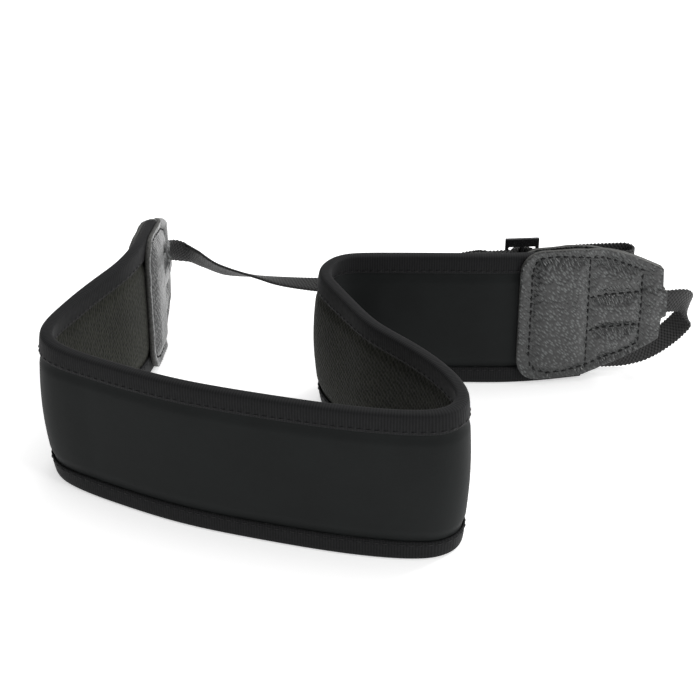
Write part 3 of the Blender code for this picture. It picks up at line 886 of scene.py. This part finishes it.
@dataclass
class LeatherTab:
    """One end's two layers of stitched leather.

    Attributes:
        band: The folded path.
        finishes: The strap's materials.
        end: Which end of the strap it closes.
        length: From the broad end to the tongue.
        overlap: How far it reaches over the pad.
        thickness: Thickness of one layer.
        corner: Radius of the broad end's corners.
        pinch_run: How far past the pad the two layers take to close.
        tongue_length: Length of the tongue.
        tongue_width: Width of the tongue.
        webbing_width: Width of the webbing sewn in between the layers.
        webbing_thickness: Thickness of that webbing.
        clearance: The gap between two pieces.
        puff: How far the leather stands out between its seams.
        groove: How deep a seam draws it in.
        puff_run: How far from a seam it takes to stand out.
        groove_run: How far from a seam the groove reaches.
        seam_shade_reach: How far from a seam the painted shade reaches.
        edge_rows: Half the tab's width at shares of its length, as shares of the band's.
        rim_seam: The seam round the rim, as (along, up) points.
        cross_seams: The straight seams between the panels.
    """

    band: Band
    finishes: Finishes
    end: End
    length: float = 0.064
    overlap: float = 0.029
    thickness: float = 0.0013
    corner: float = 0.010
    pinch_run: float = 0.009
    tongue_length: float = 0.0025
    tongue_width: float = 0.012
    webbing_width: float = 0.011
    webbing_thickness: float = 0.0011
    clearance: float = 0.0003
    puff: float = 0.0017
    groove: float = 0.00045
    puff_run: float = 0.0038
    groove_run: float = 0.0009
    seam_shade_reach: float = 0.0026
    edge_rows: tuple[tuple[float, float], ...] = (
        (0.36, 0.995), (0.50, 0.965), (0.60, 0.92), (0.74, 0.82), (0.88, 0.68), (1.00, 0.545))
    rim_seam: tuple[tuple[float, float], ...] = (
        (0.0052, -0.0200), (0.0052, 0.0200), (0.0060, 0.0245), (0.0084, 0.0275), (0.0138, 0.0281),
        (0.0216, 0.0276), (0.0304, 0.0262), (0.0354, 0.0252), (0.0434, 0.0223), (0.0550, 0.0170),
        (0.0550, -0.0186), (0.0481, -0.0219), (0.0379, -0.0250), (0.0205, -0.0280),
        (0.0138, -0.0283), (0.0084, -0.0267), (0.0060, -0.0240), (0.0052, -0.0200))
    cross_seams: tuple[tuple[tuple[float, float], tuple[float, float]], ...] = (
        ((0.0305, 0.0260), (0.0305, -0.0270)),
        ((0.0305, 0.0068), (0.0550, 0.0068)),
        ((0.0305, -0.0094), (0.0550, -0.0094)))

    def to_band(self, along: np.ndarray) -> np.ndarray:
        """Turn distances from the broad end into distances along the band."""
        if self.end is End.LEFT:
            return self.overlap - along
        return self.band.pad_length - self.overlap + along

    def rise(self, face: Face, along: np.ndarray) -> np.ndarray:
        """Give how far a layer sits above the band's middle line."""
        rise = TAB_RISE[self.end, face]
        return rise.broad + (rise.tongue - rise.broad) * np.clip(along / self.length, 0, 1)

    def outline(self) -> list[Vector]:
        """Return the leather's edge as (along, up) points, from its broad end to its tongue."""
        half = self.band.half_width
        middle = Vector((self.corner, half - self.corner))
        arc = [middle + self.corner * Vector((-math.cos(turn), math.sin(turn)))
               for turn in np.linspace(0, math.pi / 2, 9)]
        places = np.linspace(self.edge_rows[0][0], 1.0, 11)
        halves = smooth_values([row[0] for row in self.edge_rows], [row[1] for row in self.edge_rows],
                               places)
        edge = [Vector((place * self.length, share * half)) for place, share in zip(places, halves)]
        tongue = [Vector((self.length + 0.0006, self.tongue_width / 2 + 0.0008)),
                  Vector((self.length + self.tongue_length, self.tongue_width / 2))]
        upper = arc + edge + tongue
        return upper + [Vector((point.x, -point.y)) for point in reversed(upper)]

    def lift(self, along: np.ndarray, up: np.ndarray) -> np.ndarray:
        """Give how far the inner face of a layer lies from the middle of the band.

        Args:
            along: Distances from the broad end.
            up: Heights above the middle line.

        Returns:
            The distances.
        """
        over_pad = self.band.half_edge + self.clearance
        over_webbing = self.webbing_thickness / 2 + self.clearance
        closed = self.clearance / 2
        brim = (self.webbing_width / 2 + self.clearance, self.tongue_width / 2 + self.thickness * 2)
        margin = np.interp(np.abs(up), brim, (0, 1))
        thin = over_webbing + (closed - over_webbing) * margin
        pinch = (self.overlap + self.clearance, self.overlap + self.pinch_run)
        return over_pad + (thin - over_pad) * np.interp(along, pinch, (0, 1))

    def seam_distance(self, along: np.ndarray, up: np.ndarray) -> np.ndarray:
        """Give the distance from points to the nearest seam."""
        lines = list(zip(self.rim_seam, self.rim_seam[1:])) + list(self.cross_seams)
        points = np.stack([along, up], axis=1)
        nearest = np.full(len(points), 1.0)
        for start, end in lines:
            start, end = np.array(start), np.array(end)
            run = end - start
            share = np.clip((points - start) @ run / (run @ run), 0, 1)
            nearest = np.minimum(nearest, np.linalg.norm(points - start - share[:, None] * run, axis=1))
        return nearest

    def relief(self, along: np.ndarray, up: np.ndarray) -> np.ndarray:
        """Give how far the face stands out between its seams and sinks in at them."""
        gap = self.seam_distance(along, up)
        inside = np.interp(along, (0.0, 0.004, 0.056, self.length), (0.35, 1.0, 1.0, 0.3))
        rim = np.interp(np.abs(up) / self.band.half_width, (0.0, 0.86, 1.0), (1.0, 1.0, 0.35))
        swell = self.puff * inside * rim * (1 - np.exp(-(gap / self.puff_run) ** 2))
        wrinkles = np.array([noise.noise(Vector((x * 160, z * 160, 7.0))) for x, z in zip(along, up)])
        return swell + wrinkles * 0.00022 - self.groove * np.exp(-(gap / self.groove_run) ** 2)

    def surface(self, face: Face, along: np.ndarray, up: np.ndarray) -> np.ndarray:
        """Give where a layer's outer face lies, beside the middle of the band."""
        return face.value * (self.lift(along, up) + self.thickness + self.relief(along, up))

    def build_layer(self, face: Face) -> bpy.types.Object:
        """Make one layer of leather.

        Args:
            face: The side of the band that it lies on.

        Returns:
            The layer.
        """
        mesh = bmesh.new()
        mesh.faces.new([mesh.verts.new((point.x, 0, point.y)) for point in self.outline()])
        pulled = bmesh.ops.extrude_face_region(mesh, geom=mesh.faces[:])["geom"]
        corners = [item for item in pulled if isinstance(item, bmesh.types.BMVert)]
        bmesh.ops.translate(mesh, verts=corners, vec=(0, self.thickness, 0))
        sliced(mesh, np.arange(0.0008, self.length + self.tongue_length, 0.0008), (1, 0, 0))
        sliced(mesh, np.arange(-0.0304, 0.0305, 0.0008), (0, 0, 1))
        for wall in mesh.faces:
            wall.normal_update()
            wall.material_index = 1 if abs(wall.normal.y) < 0.5 else 0
        note_flat(mesh, lambda spot: (spot.x, spot.z))
        self.note_painted_seam_shade(mesh)
        move_corners(mesh, lambda spots: self.fold(spots, face))
        bmesh.ops.recalc_face_normals(mesh, faces=mesh.faces[:])
        materials = [self.finishes.get(LeatherFinish()), self.finishes.get(CutEdgeFinish())]
        side = face.name.lower()
        return show_piece(f"{self.end.value}_leather_{side}", mesh, materials,
                          [f"{self.end.value}_tab_{side}"])

    def note_painted_seam_shade(self, mesh: bmesh.types.BMesh) -> None:
        """Write the painted shade near the seams: how near each corner of a flat layer is to a seam."""
        # The "groove" layer holds the painted shade near the seams
        layer = mesh.verts.layers.float.new("groove")
        spots = np.array([corner.co for corner in mesh.verts])
        gaps = self.seam_distance(spots[:, 0], spots[:, 2])
        for corner, gap in zip(mesh.verts, gaps):
            corner[layer] = 0.75 * math.exp(-(gap / self.seam_shade_reach) ** 2)

    def fold(self, spots: np.ndarray, face: Face) -> np.ndarray:
        """Bring the corners of a flat layer to their places on the folded band."""
        along, depth, up = spots.T
        share = depth / self.thickness
        outward = self.lift(along, up) + depth + share * self.relief(along, up)
        height = up + self.rise(face, along)
        return self.band.bend(np.stack([self.to_band(along), face.value * outward, height], axis=1))

    def build_stitches(self, face: Face) -> bpy.types.Object:
        """Sew one layer's seams and return the stitches."""
        mesh = bmesh.new()
        stitching = Stitching(pitch=0.0034, length=0.0027, thickness=0.00085, proud=0.00012)

        def surface(along: float, up: float) -> float:
            """Read the layer's surface at one point."""
            return float(self.surface(face, np.array([along]), np.array([up]))[0])

        for line in (self.rim_seam, *self.cross_seams):
            stitching.sew(mesh, line, surface)
        note_flat(mesh, lambda spot: (spot.x, spot.z))
        move_corners(mesh, lambda spots: self.band.bend(np.stack(
            [self.to_band(spots[:, 0]), spots[:, 1], spots[:, 2] + self.rise(face, spots[:, 0])],
            axis=1)))
        if self.end is End.LEFT:
            bmesh.ops.reverse_faces(mesh, faces=mesh.faces[:])
        name = f"{self.end.value}_tab_stitches_{face.name.lower()}"
        return show_piece(name, mesh, [self.finishes.get(ThreadFinish())])

    def build(self) -> None:
        """Make both layers and their stitches."""
        for face in Face:
            self.build_layer(face)
            self.build_stitches(face)


@dataclass
class Slider:
    """A flat slider with two windows.

    Attributes:
        height: Its size across the webbing.
        thickness: Its thickness.
        bar: Width of its three bars.
        window: Width of one window.
        spare: How much taller a window is than the webbing is wide.
        rise: How far its middle lies above the webbing's.
        rounding: Radius of its edges.
        webbing_width: Width of the webbing that runs through it.
    """

    height: float = 0.0185
    thickness: float = 0.0014
    bar: float = 0.0016
    window: float = 0.0051
    spare: float = 0.0010
    rise: float = 0.0009
    rounding: float = 0.00055
    webbing_width: float = 0.011

    @property
    def length(self) -> float:
        """Return its size along the webbing."""
        return 3 * self.bar + 2 * self.window

    def build(self, name: str, node: str, centre: Vector, heading: float,
              finishes: Finishes) -> bpy.types.Object:
        """Make the slider in its place.

        Args:
            name: The piece's name.
            node: The solid that it stands for.
            centre: Its middle.
            heading: Its compass, in radians.
            finishes: The strap's materials.

        Returns:
            The slider.
        """
        mesh = bmesh.new()
        bmesh.ops.create_grid(mesh, x_segments=5, y_segments=3, size=0.5)
        columns = (-self.length / 2, -self.length / 2 + self.bar, -self.bar / 2)
        columns += tuple(-column for column in reversed(columns))
        opening = (self.webbing_width + self.spare) / 2
        rows = (-self.height / 2, -opening - self.rise, opening - self.rise, self.height / 2)
        for corner in mesh.verts:
            column, row = round((corner.co.x + 0.5) * 5), round((corner.co.y + 0.5) * 3)
            corner.co = (columns[column], 0, rows[row])
        windows = [face for face in mesh.faces
                   if abs(face.calc_center_median().z + self.rise) < 1e-6
                   and abs(abs(face.calc_center_median().x) - (self.bar + self.window) / 2) < 1e-6]
        bmesh.ops.delete(mesh, geom=windows, context="FACES")
        pulled = bmesh.ops.extrude_face_region(mesh, geom=mesh.faces[:])["geom"]
        corners = [item for item in pulled if isinstance(item, bmesh.types.BMVert)]
        bmesh.ops.translate(mesh, verts=corners, vec=(0, self.thickness, 0))
        bmesh.ops.translate(mesh, verts=mesh.verts[:], vec=(0, -self.thickness / 2, 0))
        bmesh.ops.recalc_face_normals(mesh, faces=mesh.faces[:])
        sharp = [edge for edge in mesh.edges if edge.calc_face_angle(0.0) > 0.8]
        bmesh.ops.bevel(mesh, geom=sharp, offset=self.rounding, offset_type="OFFSET", segments=4,
                        profile=0.5, affect="EDGES", material=-1)
        note_flat(mesh, lambda spot: (spot.x, spot.z))
        bmesh.ops.transform(mesh, verts=mesh.verts[:],
                            matrix=Matrix.Translation(centre) @ Matrix.Rotation(heading, 4, "Z"))
        return show_piece(name, mesh, [finishes.get(MouldedFinish())], [node])


@dataclass
class WebbingTie:
    """One end's webbing, from the tab through its slider and round the lug loop to its tail.

    Attributes:
        band: The folded path.
        finishes: The strap's materials.
        tab: The tab that it is sewn into.
        slider: Its slider.
        width: Width of the webbing.
        thickness: Thickness of the webbing.
        slider_at: Where the slider lies, as a share of the pad's length.
        slider_behind: How far the slider lies behind the band.
        slider_level: Height of the middle of the webbing at the slider.
        sewn_in: How much of the webbing lies between the tab's layers.
        run_out: How far it runs on straight past the tongue.
        loop_length: Length of the lug loop from the slider.
        loop_opening: Width of the lug loop's bend, inside.
        tail: Length of the loose end behind the slider.
        hump_angle: How steeply the webbing climbs over the slider's middle bar.
        clearance: The gap between two pieces.
        scallop: How deep the weave's edge is notched.
        scallop_pitch: Distance from notch to notch.
        step: The step of the mesh along the webbing.
    """

    band: Band
    finishes: Finishes
    tab: LeatherTab
    slider: Slider
    slider_at: float
    slider_behind: float
    slider_level: float
    width: float = 0.011
    thickness: float = 0.0011
    sewn_in: float = 0.027
    run_out: float = 0.0015
    loop_length: float = 0.049
    loop_opening: float = 0.0072
    tail: float = 0.016
    hump_angle: float = math.radians(50)
    clearance: float = 0.0003
    scallop: float = 0.00028
    scallop_pitch: float = 0.00165
    step: float = 0.0004

    @property
    def stack_gap(self) -> float:
        """Return the distance between the middles of two layers that lie on each other."""
        return self.thickness + self.clearance

    @property
    def slider_lift(self) -> float:
        """Return how far the slider's middle lies from the middle of the two layers."""
        return self.slider.thickness / 2 + self.thickness + 1.5 * self.clearance

    def sewn_start(self) -> list[Row]:
        """Return the route between the tab's layers and straight out of its tongue."""
        end = self.tab.length + self.tab.tongue_length + self.run_out
        places = np.linspace(self.tab.length - self.sewn_in, end, 8)
        height = np.full(len(places), TAB_RISE[self.tab.end, Face.INNER].tongue)
        route = np.stack([self.tab.to_band(places), np.zeros(len(places)), height], axis=1)
        return [Row(*spot, 0.0) for spot in self.band.bend(route)]

    def slider_place(self) -> tuple[Vector, float]:
        """Return the slider's middle and the heading of the band there."""
        centre, ahead, aside, _ = self.band.frame(self.slider_at * self.band.pad_length)
        spot = centre[0] + aside[0] * self.slider_behind
        return Vector((spot[0], spot[1], self.slider_level)), math.atan2(ahead[0][1], ahead[0][0])

    def crossing(self, tip: Vector, centre: Vector) -> list[Row]:
        """Return the route from the tab's tip to the slider. Each end's tie has its own."""
        raise NotImplementedError

    def lug_loop(self, centre: Vector, heading: float, lean: float) -> list[Row]:
        """Route the webbing over the slider, round the lug loop and back to its tail.

        Args:
            centre: The middle of the two layers at the slider.
            heading: The compass from the slider to the loop.
            lean: The webbing's lean.

        Returns:
            The route's rows.
        """
        height = 2 * self.slider_lift
        window = (self.slider.bar + self.slider.window) / 2
        run = height / math.tan(self.hump_angle) / 2
        half = self.stack_gap / 2
        slant = half * math.tan(self.hump_angle / 2)
        side = [(window + run, 0.0), (window - run, height)]
        corners = [(-x, y) for x, y in side] + side[::-1]
        signs = [(1 if x < 0 else -1) * (-1 if y else 1) for x, y in corners]
        out = [(x + slant * sign, y + half) for (x, y), sign in zip(corners, signs)]
        back = [(x - slant * sign, y - half) for (x, y), sign in zip(corners, signs)]
        radius = (self.loop_opening + self.thickness) / 2
        mouth = self.slider.length / 2 + self.thickness
        middle = self.loop_length - radius
        flare = [(mouth, half), (mouth + radius, half * 1.25), (mouth + 2.5 * radius, radius * 0.72),
                 (mouth + 4.5 * radius, radius)]
        bend = [(middle + radius * math.cos(turn), radius * math.sin(turn))
                for turn in np.linspace(math.pi / 2, -math.pi / 2, 25)]
        path = out + flare + bend + [(x, -y) for x, y in flare[::-1]] + back[::-1]
        path += [(-mouth, -half), (-mouth - self.tail, -half)]
        ahead = Vector((math.cos(heading), math.sin(heading), 0))
        aside = Vector((-math.sin(heading), math.cos(heading), 0))
        spots = [centre + ahead * x + aside * y for x, y in path]
        return [Row(*spot, lean) for spot in spots]

    def smooth_route(self, rows: Sequence[Row]) -> np.ndarray:
        """Resample a route on a curve that never dips below its rows.

        Args:
            rows: The route's rows.

        Returns:
            Rows of (x, y, z, lean).
        """
        table = np.array(rows, float)
        chords = np.linalg.norm(np.diff(table[:, :3], axis=0), axis=1)
        knots = np.concatenate([[0], np.cumsum(chords)])
        slopes = np.gradient(table, knots, axis=0)
        places = np.linspace(0, knots[-1], round(knots[-1] / 0.0015) + 1)
        row = np.clip(np.searchsorted(knots, places, side="right") - 1, 0, len(chords) - 1)
        t = ((places - knots[row]) / chords[row])[:, None]
        width = chords[row][:, None]
        smooth = (table[row] * (1 + 2 * t) * (1 - t) ** 2 + slopes[row] * width * t * (1 - t) ** 2
                  + table[row + 1] * t * t * (3 - 2 * t) + slopes[row + 1] * width * t * t * (t - 1))
        for column in (2, 3):
            smooth[:, column] = smooth_values(knots, table[:, column], places)
        return smooth

    def softened(self, route: np.ndarray, rounds: int) -> np.ndarray:
        """Cut the corners of a route, and keep its two ends."""
        for _ in range(rounds):
            near = route[:-1] * 0.75 + route[1:] * 0.25
            far = route[:-1] * 0.25 + route[1:] * 0.75
            middle = np.stack([near, far], axis=1).reshape(-1, route.shape[1])
            route = np.concatenate([route[:1], middle, route[-1:]])
        return route

    def even(self, route: np.ndarray) -> np.ndarray:
        """Resample a route at an even step."""
        chords = np.linalg.norm(np.diff(route[:, :3], axis=0), axis=1)
        knots = np.concatenate([[0], np.cumsum(chords)])
        places = np.linspace(0, knots[-1], round(knots[-1] / self.step) + 1)
        return np.stack([np.interp(places, knots, route[:, axis]) for axis in range(4)], axis=1)

    def weave(self, name: str, node: str, route: np.ndarray) -> bpy.types.Object:
        """Sweep the webbing along its route.

        Args:
            name: The piece's name.
            node: The solid that it stands for.
            route: Rows of (x, y, z, lean).

        Returns:
            The webbing.
        """
        half, lip = self.width / 2, self.thickness / 2
        section = [(-lip, -half * 0.93), (-lip, -half * 0.5), (-lip, 0.0), (-lip, half * 0.5),
                   (-lip, half * 0.93), (-lip * 0.55, half), (lip * 0.55, half), (lip, half * 0.93),
                   (lip, half * 0.5), (lip, 0.0), (lip, -half * 0.5), (lip, -half * 0.93),
                   (lip * 0.55, -half), (-lip * 0.55, -half)]
        length = self.step * (len(route) - 1)
        mesh = swept(section, 0.0, length, self.step)
        note_flat(mesh, lambda spot: (spot.x, spot.z))
        spots = route[:, :3]
        ahead = np.gradient(spots, axis=0)
        ahead /= np.linalg.norm(ahead, axis=1)[:, None]
        level = np.cross((0.0, 0.0, 1.0), ahead)
        level /= np.linalg.norm(level, axis=1)[:, None]
        upright = np.cross(ahead, level)
        lean = np.radians(route[:, 3])[:, None]
        across = upright * np.cos(lean) - level * np.sin(lean)
        side = np.cross(across, ahead)

        def place(corners: np.ndarray) -> np.ndarray:
            """Bring the flat webbing's corners to the route."""
            index = np.clip(np.round(corners[:, 0] / self.step).astype(int), 0, len(route) - 1)
            wave = np.abs(np.sin(math.pi * corners[:, 0] / self.scallop_pitch))
            rim = np.clip((np.abs(corners[:, 2]) - half * 0.9) / (half * 0.1), 0, 1)
            up = corners[:, 2] - np.sign(corners[:, 2]) * rim * self.scallop * (1 - wave) * 2
            return spots[index] + side[index] * corners[:, 1][:, None] + across[index] * up[:, None]

        move_corners(mesh, place)
        bmesh.ops.recalc_face_normals(mesh, faces=mesh.faces[:])
        return show_piece(name, mesh, [self.finishes.get(WeaveFinish())], [node])

    def build_tie(self, lean: float, turned: float) -> None:
        """Make the webbing and its slider.

        Args:
            lean: The webbing's lean at the slider.
            turned: How far the loop's heading is turned from the band's.
        """
        end = self.tab.end.value
        start = self.sewn_start()
        centre, heading = self.slider_place()
        heading += turned
        rows = start + self.crossing(Vector(start[-1][:3]), centre)
        approach = Vector((math.cos(heading), math.sin(heading), 0)) * self.slider.length
        aside = Vector((-math.sin(heading), math.cos(heading), 0))
        first = centre + aside * self.stack_gap / 2 - approach
        second = centre + aside * self.stack_gap / 2 - approach * 0.62
        rows += [Row(*first, lean), Row(*second, lean)]
        loop = self.softened(np.array(self.lug_loop(centre, heading, lean)), 3)
        route = self.even(np.concatenate([self.smooth_route(rows), loop]))
        self.weave(f"{end}_tie_webbing", f"{end}_webbing", route)
        spot = centre + aside * self.slider_lift + Vector((0, 0, self.slider.rise))
        self.slider.build(f"{end}_moulded_slider", f"{end}_slider", spot, heading, self.finishes)


@dataclass
class LeftTie(WebbingTie):
    """The left webbing: it crosses behind the band to its slider near the right tab."""

    table: tuple[tuple[float, float, float, float], ...] = (
        (-0.002, 0.018, -0.03, 3), (0.003, 0.041, -0.08, 7), (0.028, 0.064, -0.19, 13),
        (0.076, 0.050, -0.22, 19), (0.118, 0.027, -0.22, 28), (0.160, 0.005, -0.21, 38),
        (0.210, -0.008, -0.19, 50), (0.258, -0.015, -0.17, 61), (0.305, -0.024, -0.145, 71),
        (0.352, -0.033, -0.12, 82), (0.440, -0.037, -0.07, 94), (0.614, -0.036, 0.16, 122),
        (0.764, -0.028, 0.57, 152), (0.882, -0.013, 0.88, 174))

    def crossing(self, tip: Vector, centre: Vector) -> list[Row]:
        """Return the route across the hollow, in shares of the straight line and of the climb."""
        chord = centre - tip
        flat = Vector((chord.x, chord.y, 0))
        side = Vector((-flat.y, flat.x, 0))
        rows = []
        for along, aside, rise, lean in self.table:
            spot = tip + flat * along + side * aside
            rows.append(Row(spot.x, spot.y, tip.z + chord.z * rise, lean))
        return rows

    def build(self) -> None:
        """Make the webbing and its slider."""
        self.build_tie(180.0, 0.0)


@dataclass
class RightTie(WebbingTie):
    """The right webbing: it turns down past the tab's tip and lies on the surface behind the band."""

    turn: tuple[tuple[float, float, float, float], ...] = (
        (0.32, 0.045, 0.007, 0), (0.655, 0.145, 0.04, 0), (0.93, 0.31, 0.135, 4),
        (1.05, 0.50, 0.284, 16), (1.00, 0.62, 0.446, 34), (0.74, 0.68, 0.60, 46),
        (0.32, 0.67, 0.743, 48), (-0.22, 0.62, 0.865, 38), (-0.86, 0.56, 0.955, 20),
        (-1.59, 0.52, 0.995, 7))
    run: tuple[tuple[float, float, float], ...] = (
        (1.022, 0.56, 0), (0.990, 0.80, 0), (0.957, 1.03, 0))

    def crossing(self, tip: Vector, centre: Vector) -> list[Row]:
        """Return the route round the turn and along the surface, in widths of the webbing."""
        place = self.tab.to_band(np.array([self.tab.length + self.tab.tongue_length]))
        _, ahead, aside, _ = self.band.frame(place)
        ahead, aside = Vector(ahead[0]), Vector(aside[0])
        floor = self.width / 2 + self.clearance
        rows = []
        for forward, beside, drop, lean in self.turn:
            spot = tip + (ahead * forward + aside * beside) * self.width
            rows.append(Row(spot.x, spot.y, tip.z + (floor - tip.z) * drop, lean))
        for at, behind, lean in self.run:
            middle, _, side, _ = self.band.frame(at * self.band.pad_length)
            spot = middle[0] + side[0] * behind * self.width
            rows.append(Row(spot[0], spot[1], floor, lean))
        return rows

    def build(self) -> None:
        """Make the webbing and its slider."""
        self.build_tie(0.0, math.pi)


@dataclass
class Studio:
    """The pale floor, the soft lights and the camera.

    Attributes:
        lens: The camera's focal length in millimetres.
        camera_place: Where the camera stands.
        tilt: How far it looks down, in degrees.
    """

    lens: float = 72.0
    camera_place: tuple[float, float, float] = (-0.015988, -0.511668, 0.31644)
    tilt: float = 29.3375

    def build_camera(self) -> None:
        """Set up the camera."""
        data = bpy.data.cameras.new("camera")
        data.lens = self.lens
        data.sensor_width = 36.0
        data.clip_start = 0.01
        camera = bpy.data.objects.new("camera", data)
        camera.location = self.camera_place
        camera.rotation_euler = (math.radians(90 - self.tilt), 0, 0)
        bpy.context.scene.collection.objects.link(camera)
        bpy.context.scene.camera = camera

    def build_floor(self) -> None:
        """Lay the floor, a wide plane of pale paper."""
        mesh = bmesh.new()
        bmesh.ops.create_grid(mesh, x_segments=1, y_segments=1, size=6.0)
        data = bpy.data.meshes.new("floor")
        mesh.to_mesh(data)
        mesh.free()
        shader = Shader.new("paper")
        shader.set(base_color=(0.93, 0.93, 0.93), roughness=0.9, specular_ior_level=0.1,
                   emission_color=(1.0, 1.0, 1.0), emission_strength=0.50)
        data.materials.append(shader.material)
        floor = bpy.data.objects.new("floor", data)
        bpy.context.scene.collection.objects.link(floor)

    def add_light(self, name: str, place: tuple[float, float, float], size: float,
                  power: float) -> None:
        """Hang a square soft light that points at the strap.

        Args:
            name: Its name.
            place: Where it hangs.
            size: Length of its side.
            power: Its power in watts.
        """
        data = bpy.data.lights.new(name, "AREA")
        data.size = size
        data.energy = power
        light = bpy.data.objects.new(name, data)
        light.location = place
        light.rotation_euler = (-Vector(place)).to_track_quat("-Z", "Y").to_euler()
        bpy.context.scene.collection.objects.link(light)

    def build_world(self) -> None:
        """Fill the surroundings with an even pale light, and show its white as white."""
        world = bpy.data.worlds.new("pale")
        world.use_nodes = True
        world.node_tree.nodes["Background"].inputs["Color"].default_value = (1, 1, 1, 1)
        world.node_tree.nodes["Background"].inputs["Strength"].default_value = 0.42
        bpy.context.scene.world = world
        bpy.context.scene.view_settings.view_transform = "Standard"

    def build(self) -> None:
        """Set up the camera, the floor and the lights."""
        self.build_camera()
        self.build_floor()
        self.build_world()
        self.add_light("overhead", (0.15, 0.35, 1.3), 0.9, 7.0)
        self.add_light("front", (0.9, -0.7, 0.8), 0.4, 5.0)
        self.add_light("back", (1.0, 0.7, 0.7), 0.35, 9.0)


def main() -> None:
    """Build the studio and every piece of the strap, and log each piece's face count."""
    logging.basicConfig(level=logging.INFO, format="%(name)s: %(message)s")
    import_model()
    Studio().build()
    band = Band()
    finishes = Finishes()
    padded = PaddedBand(band, finishes)
    band.settle(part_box("neck_pad")[0], padded.outline())
    padded.build()
    left_tab = LeatherTab(band, finishes, End.LEFT)
    right_tab = LeatherTab(band, finishes, End.RIGHT)
    left_tab.build()
    right_tab.build()
    slider = Slider()
    left_level = LEFT_SLIDER_TOP * band.pad_width - slider.height / 2 - slider.rise
    right_level = slider.height / 2 + FLOOR_GAP - slider.rise
    LeftTie(band, finishes, left_tab, slider, LEFT_SLIDER_AT, LEFT_SLIDER_BEHIND,
            left_level).build()
    RightTie(band, finishes, right_tab, slider, RIGHT_SLIDER_AT, RIGHT_SLIDER_BEHIND,
             right_level).build()


if __name__ == "__main__":
    main()
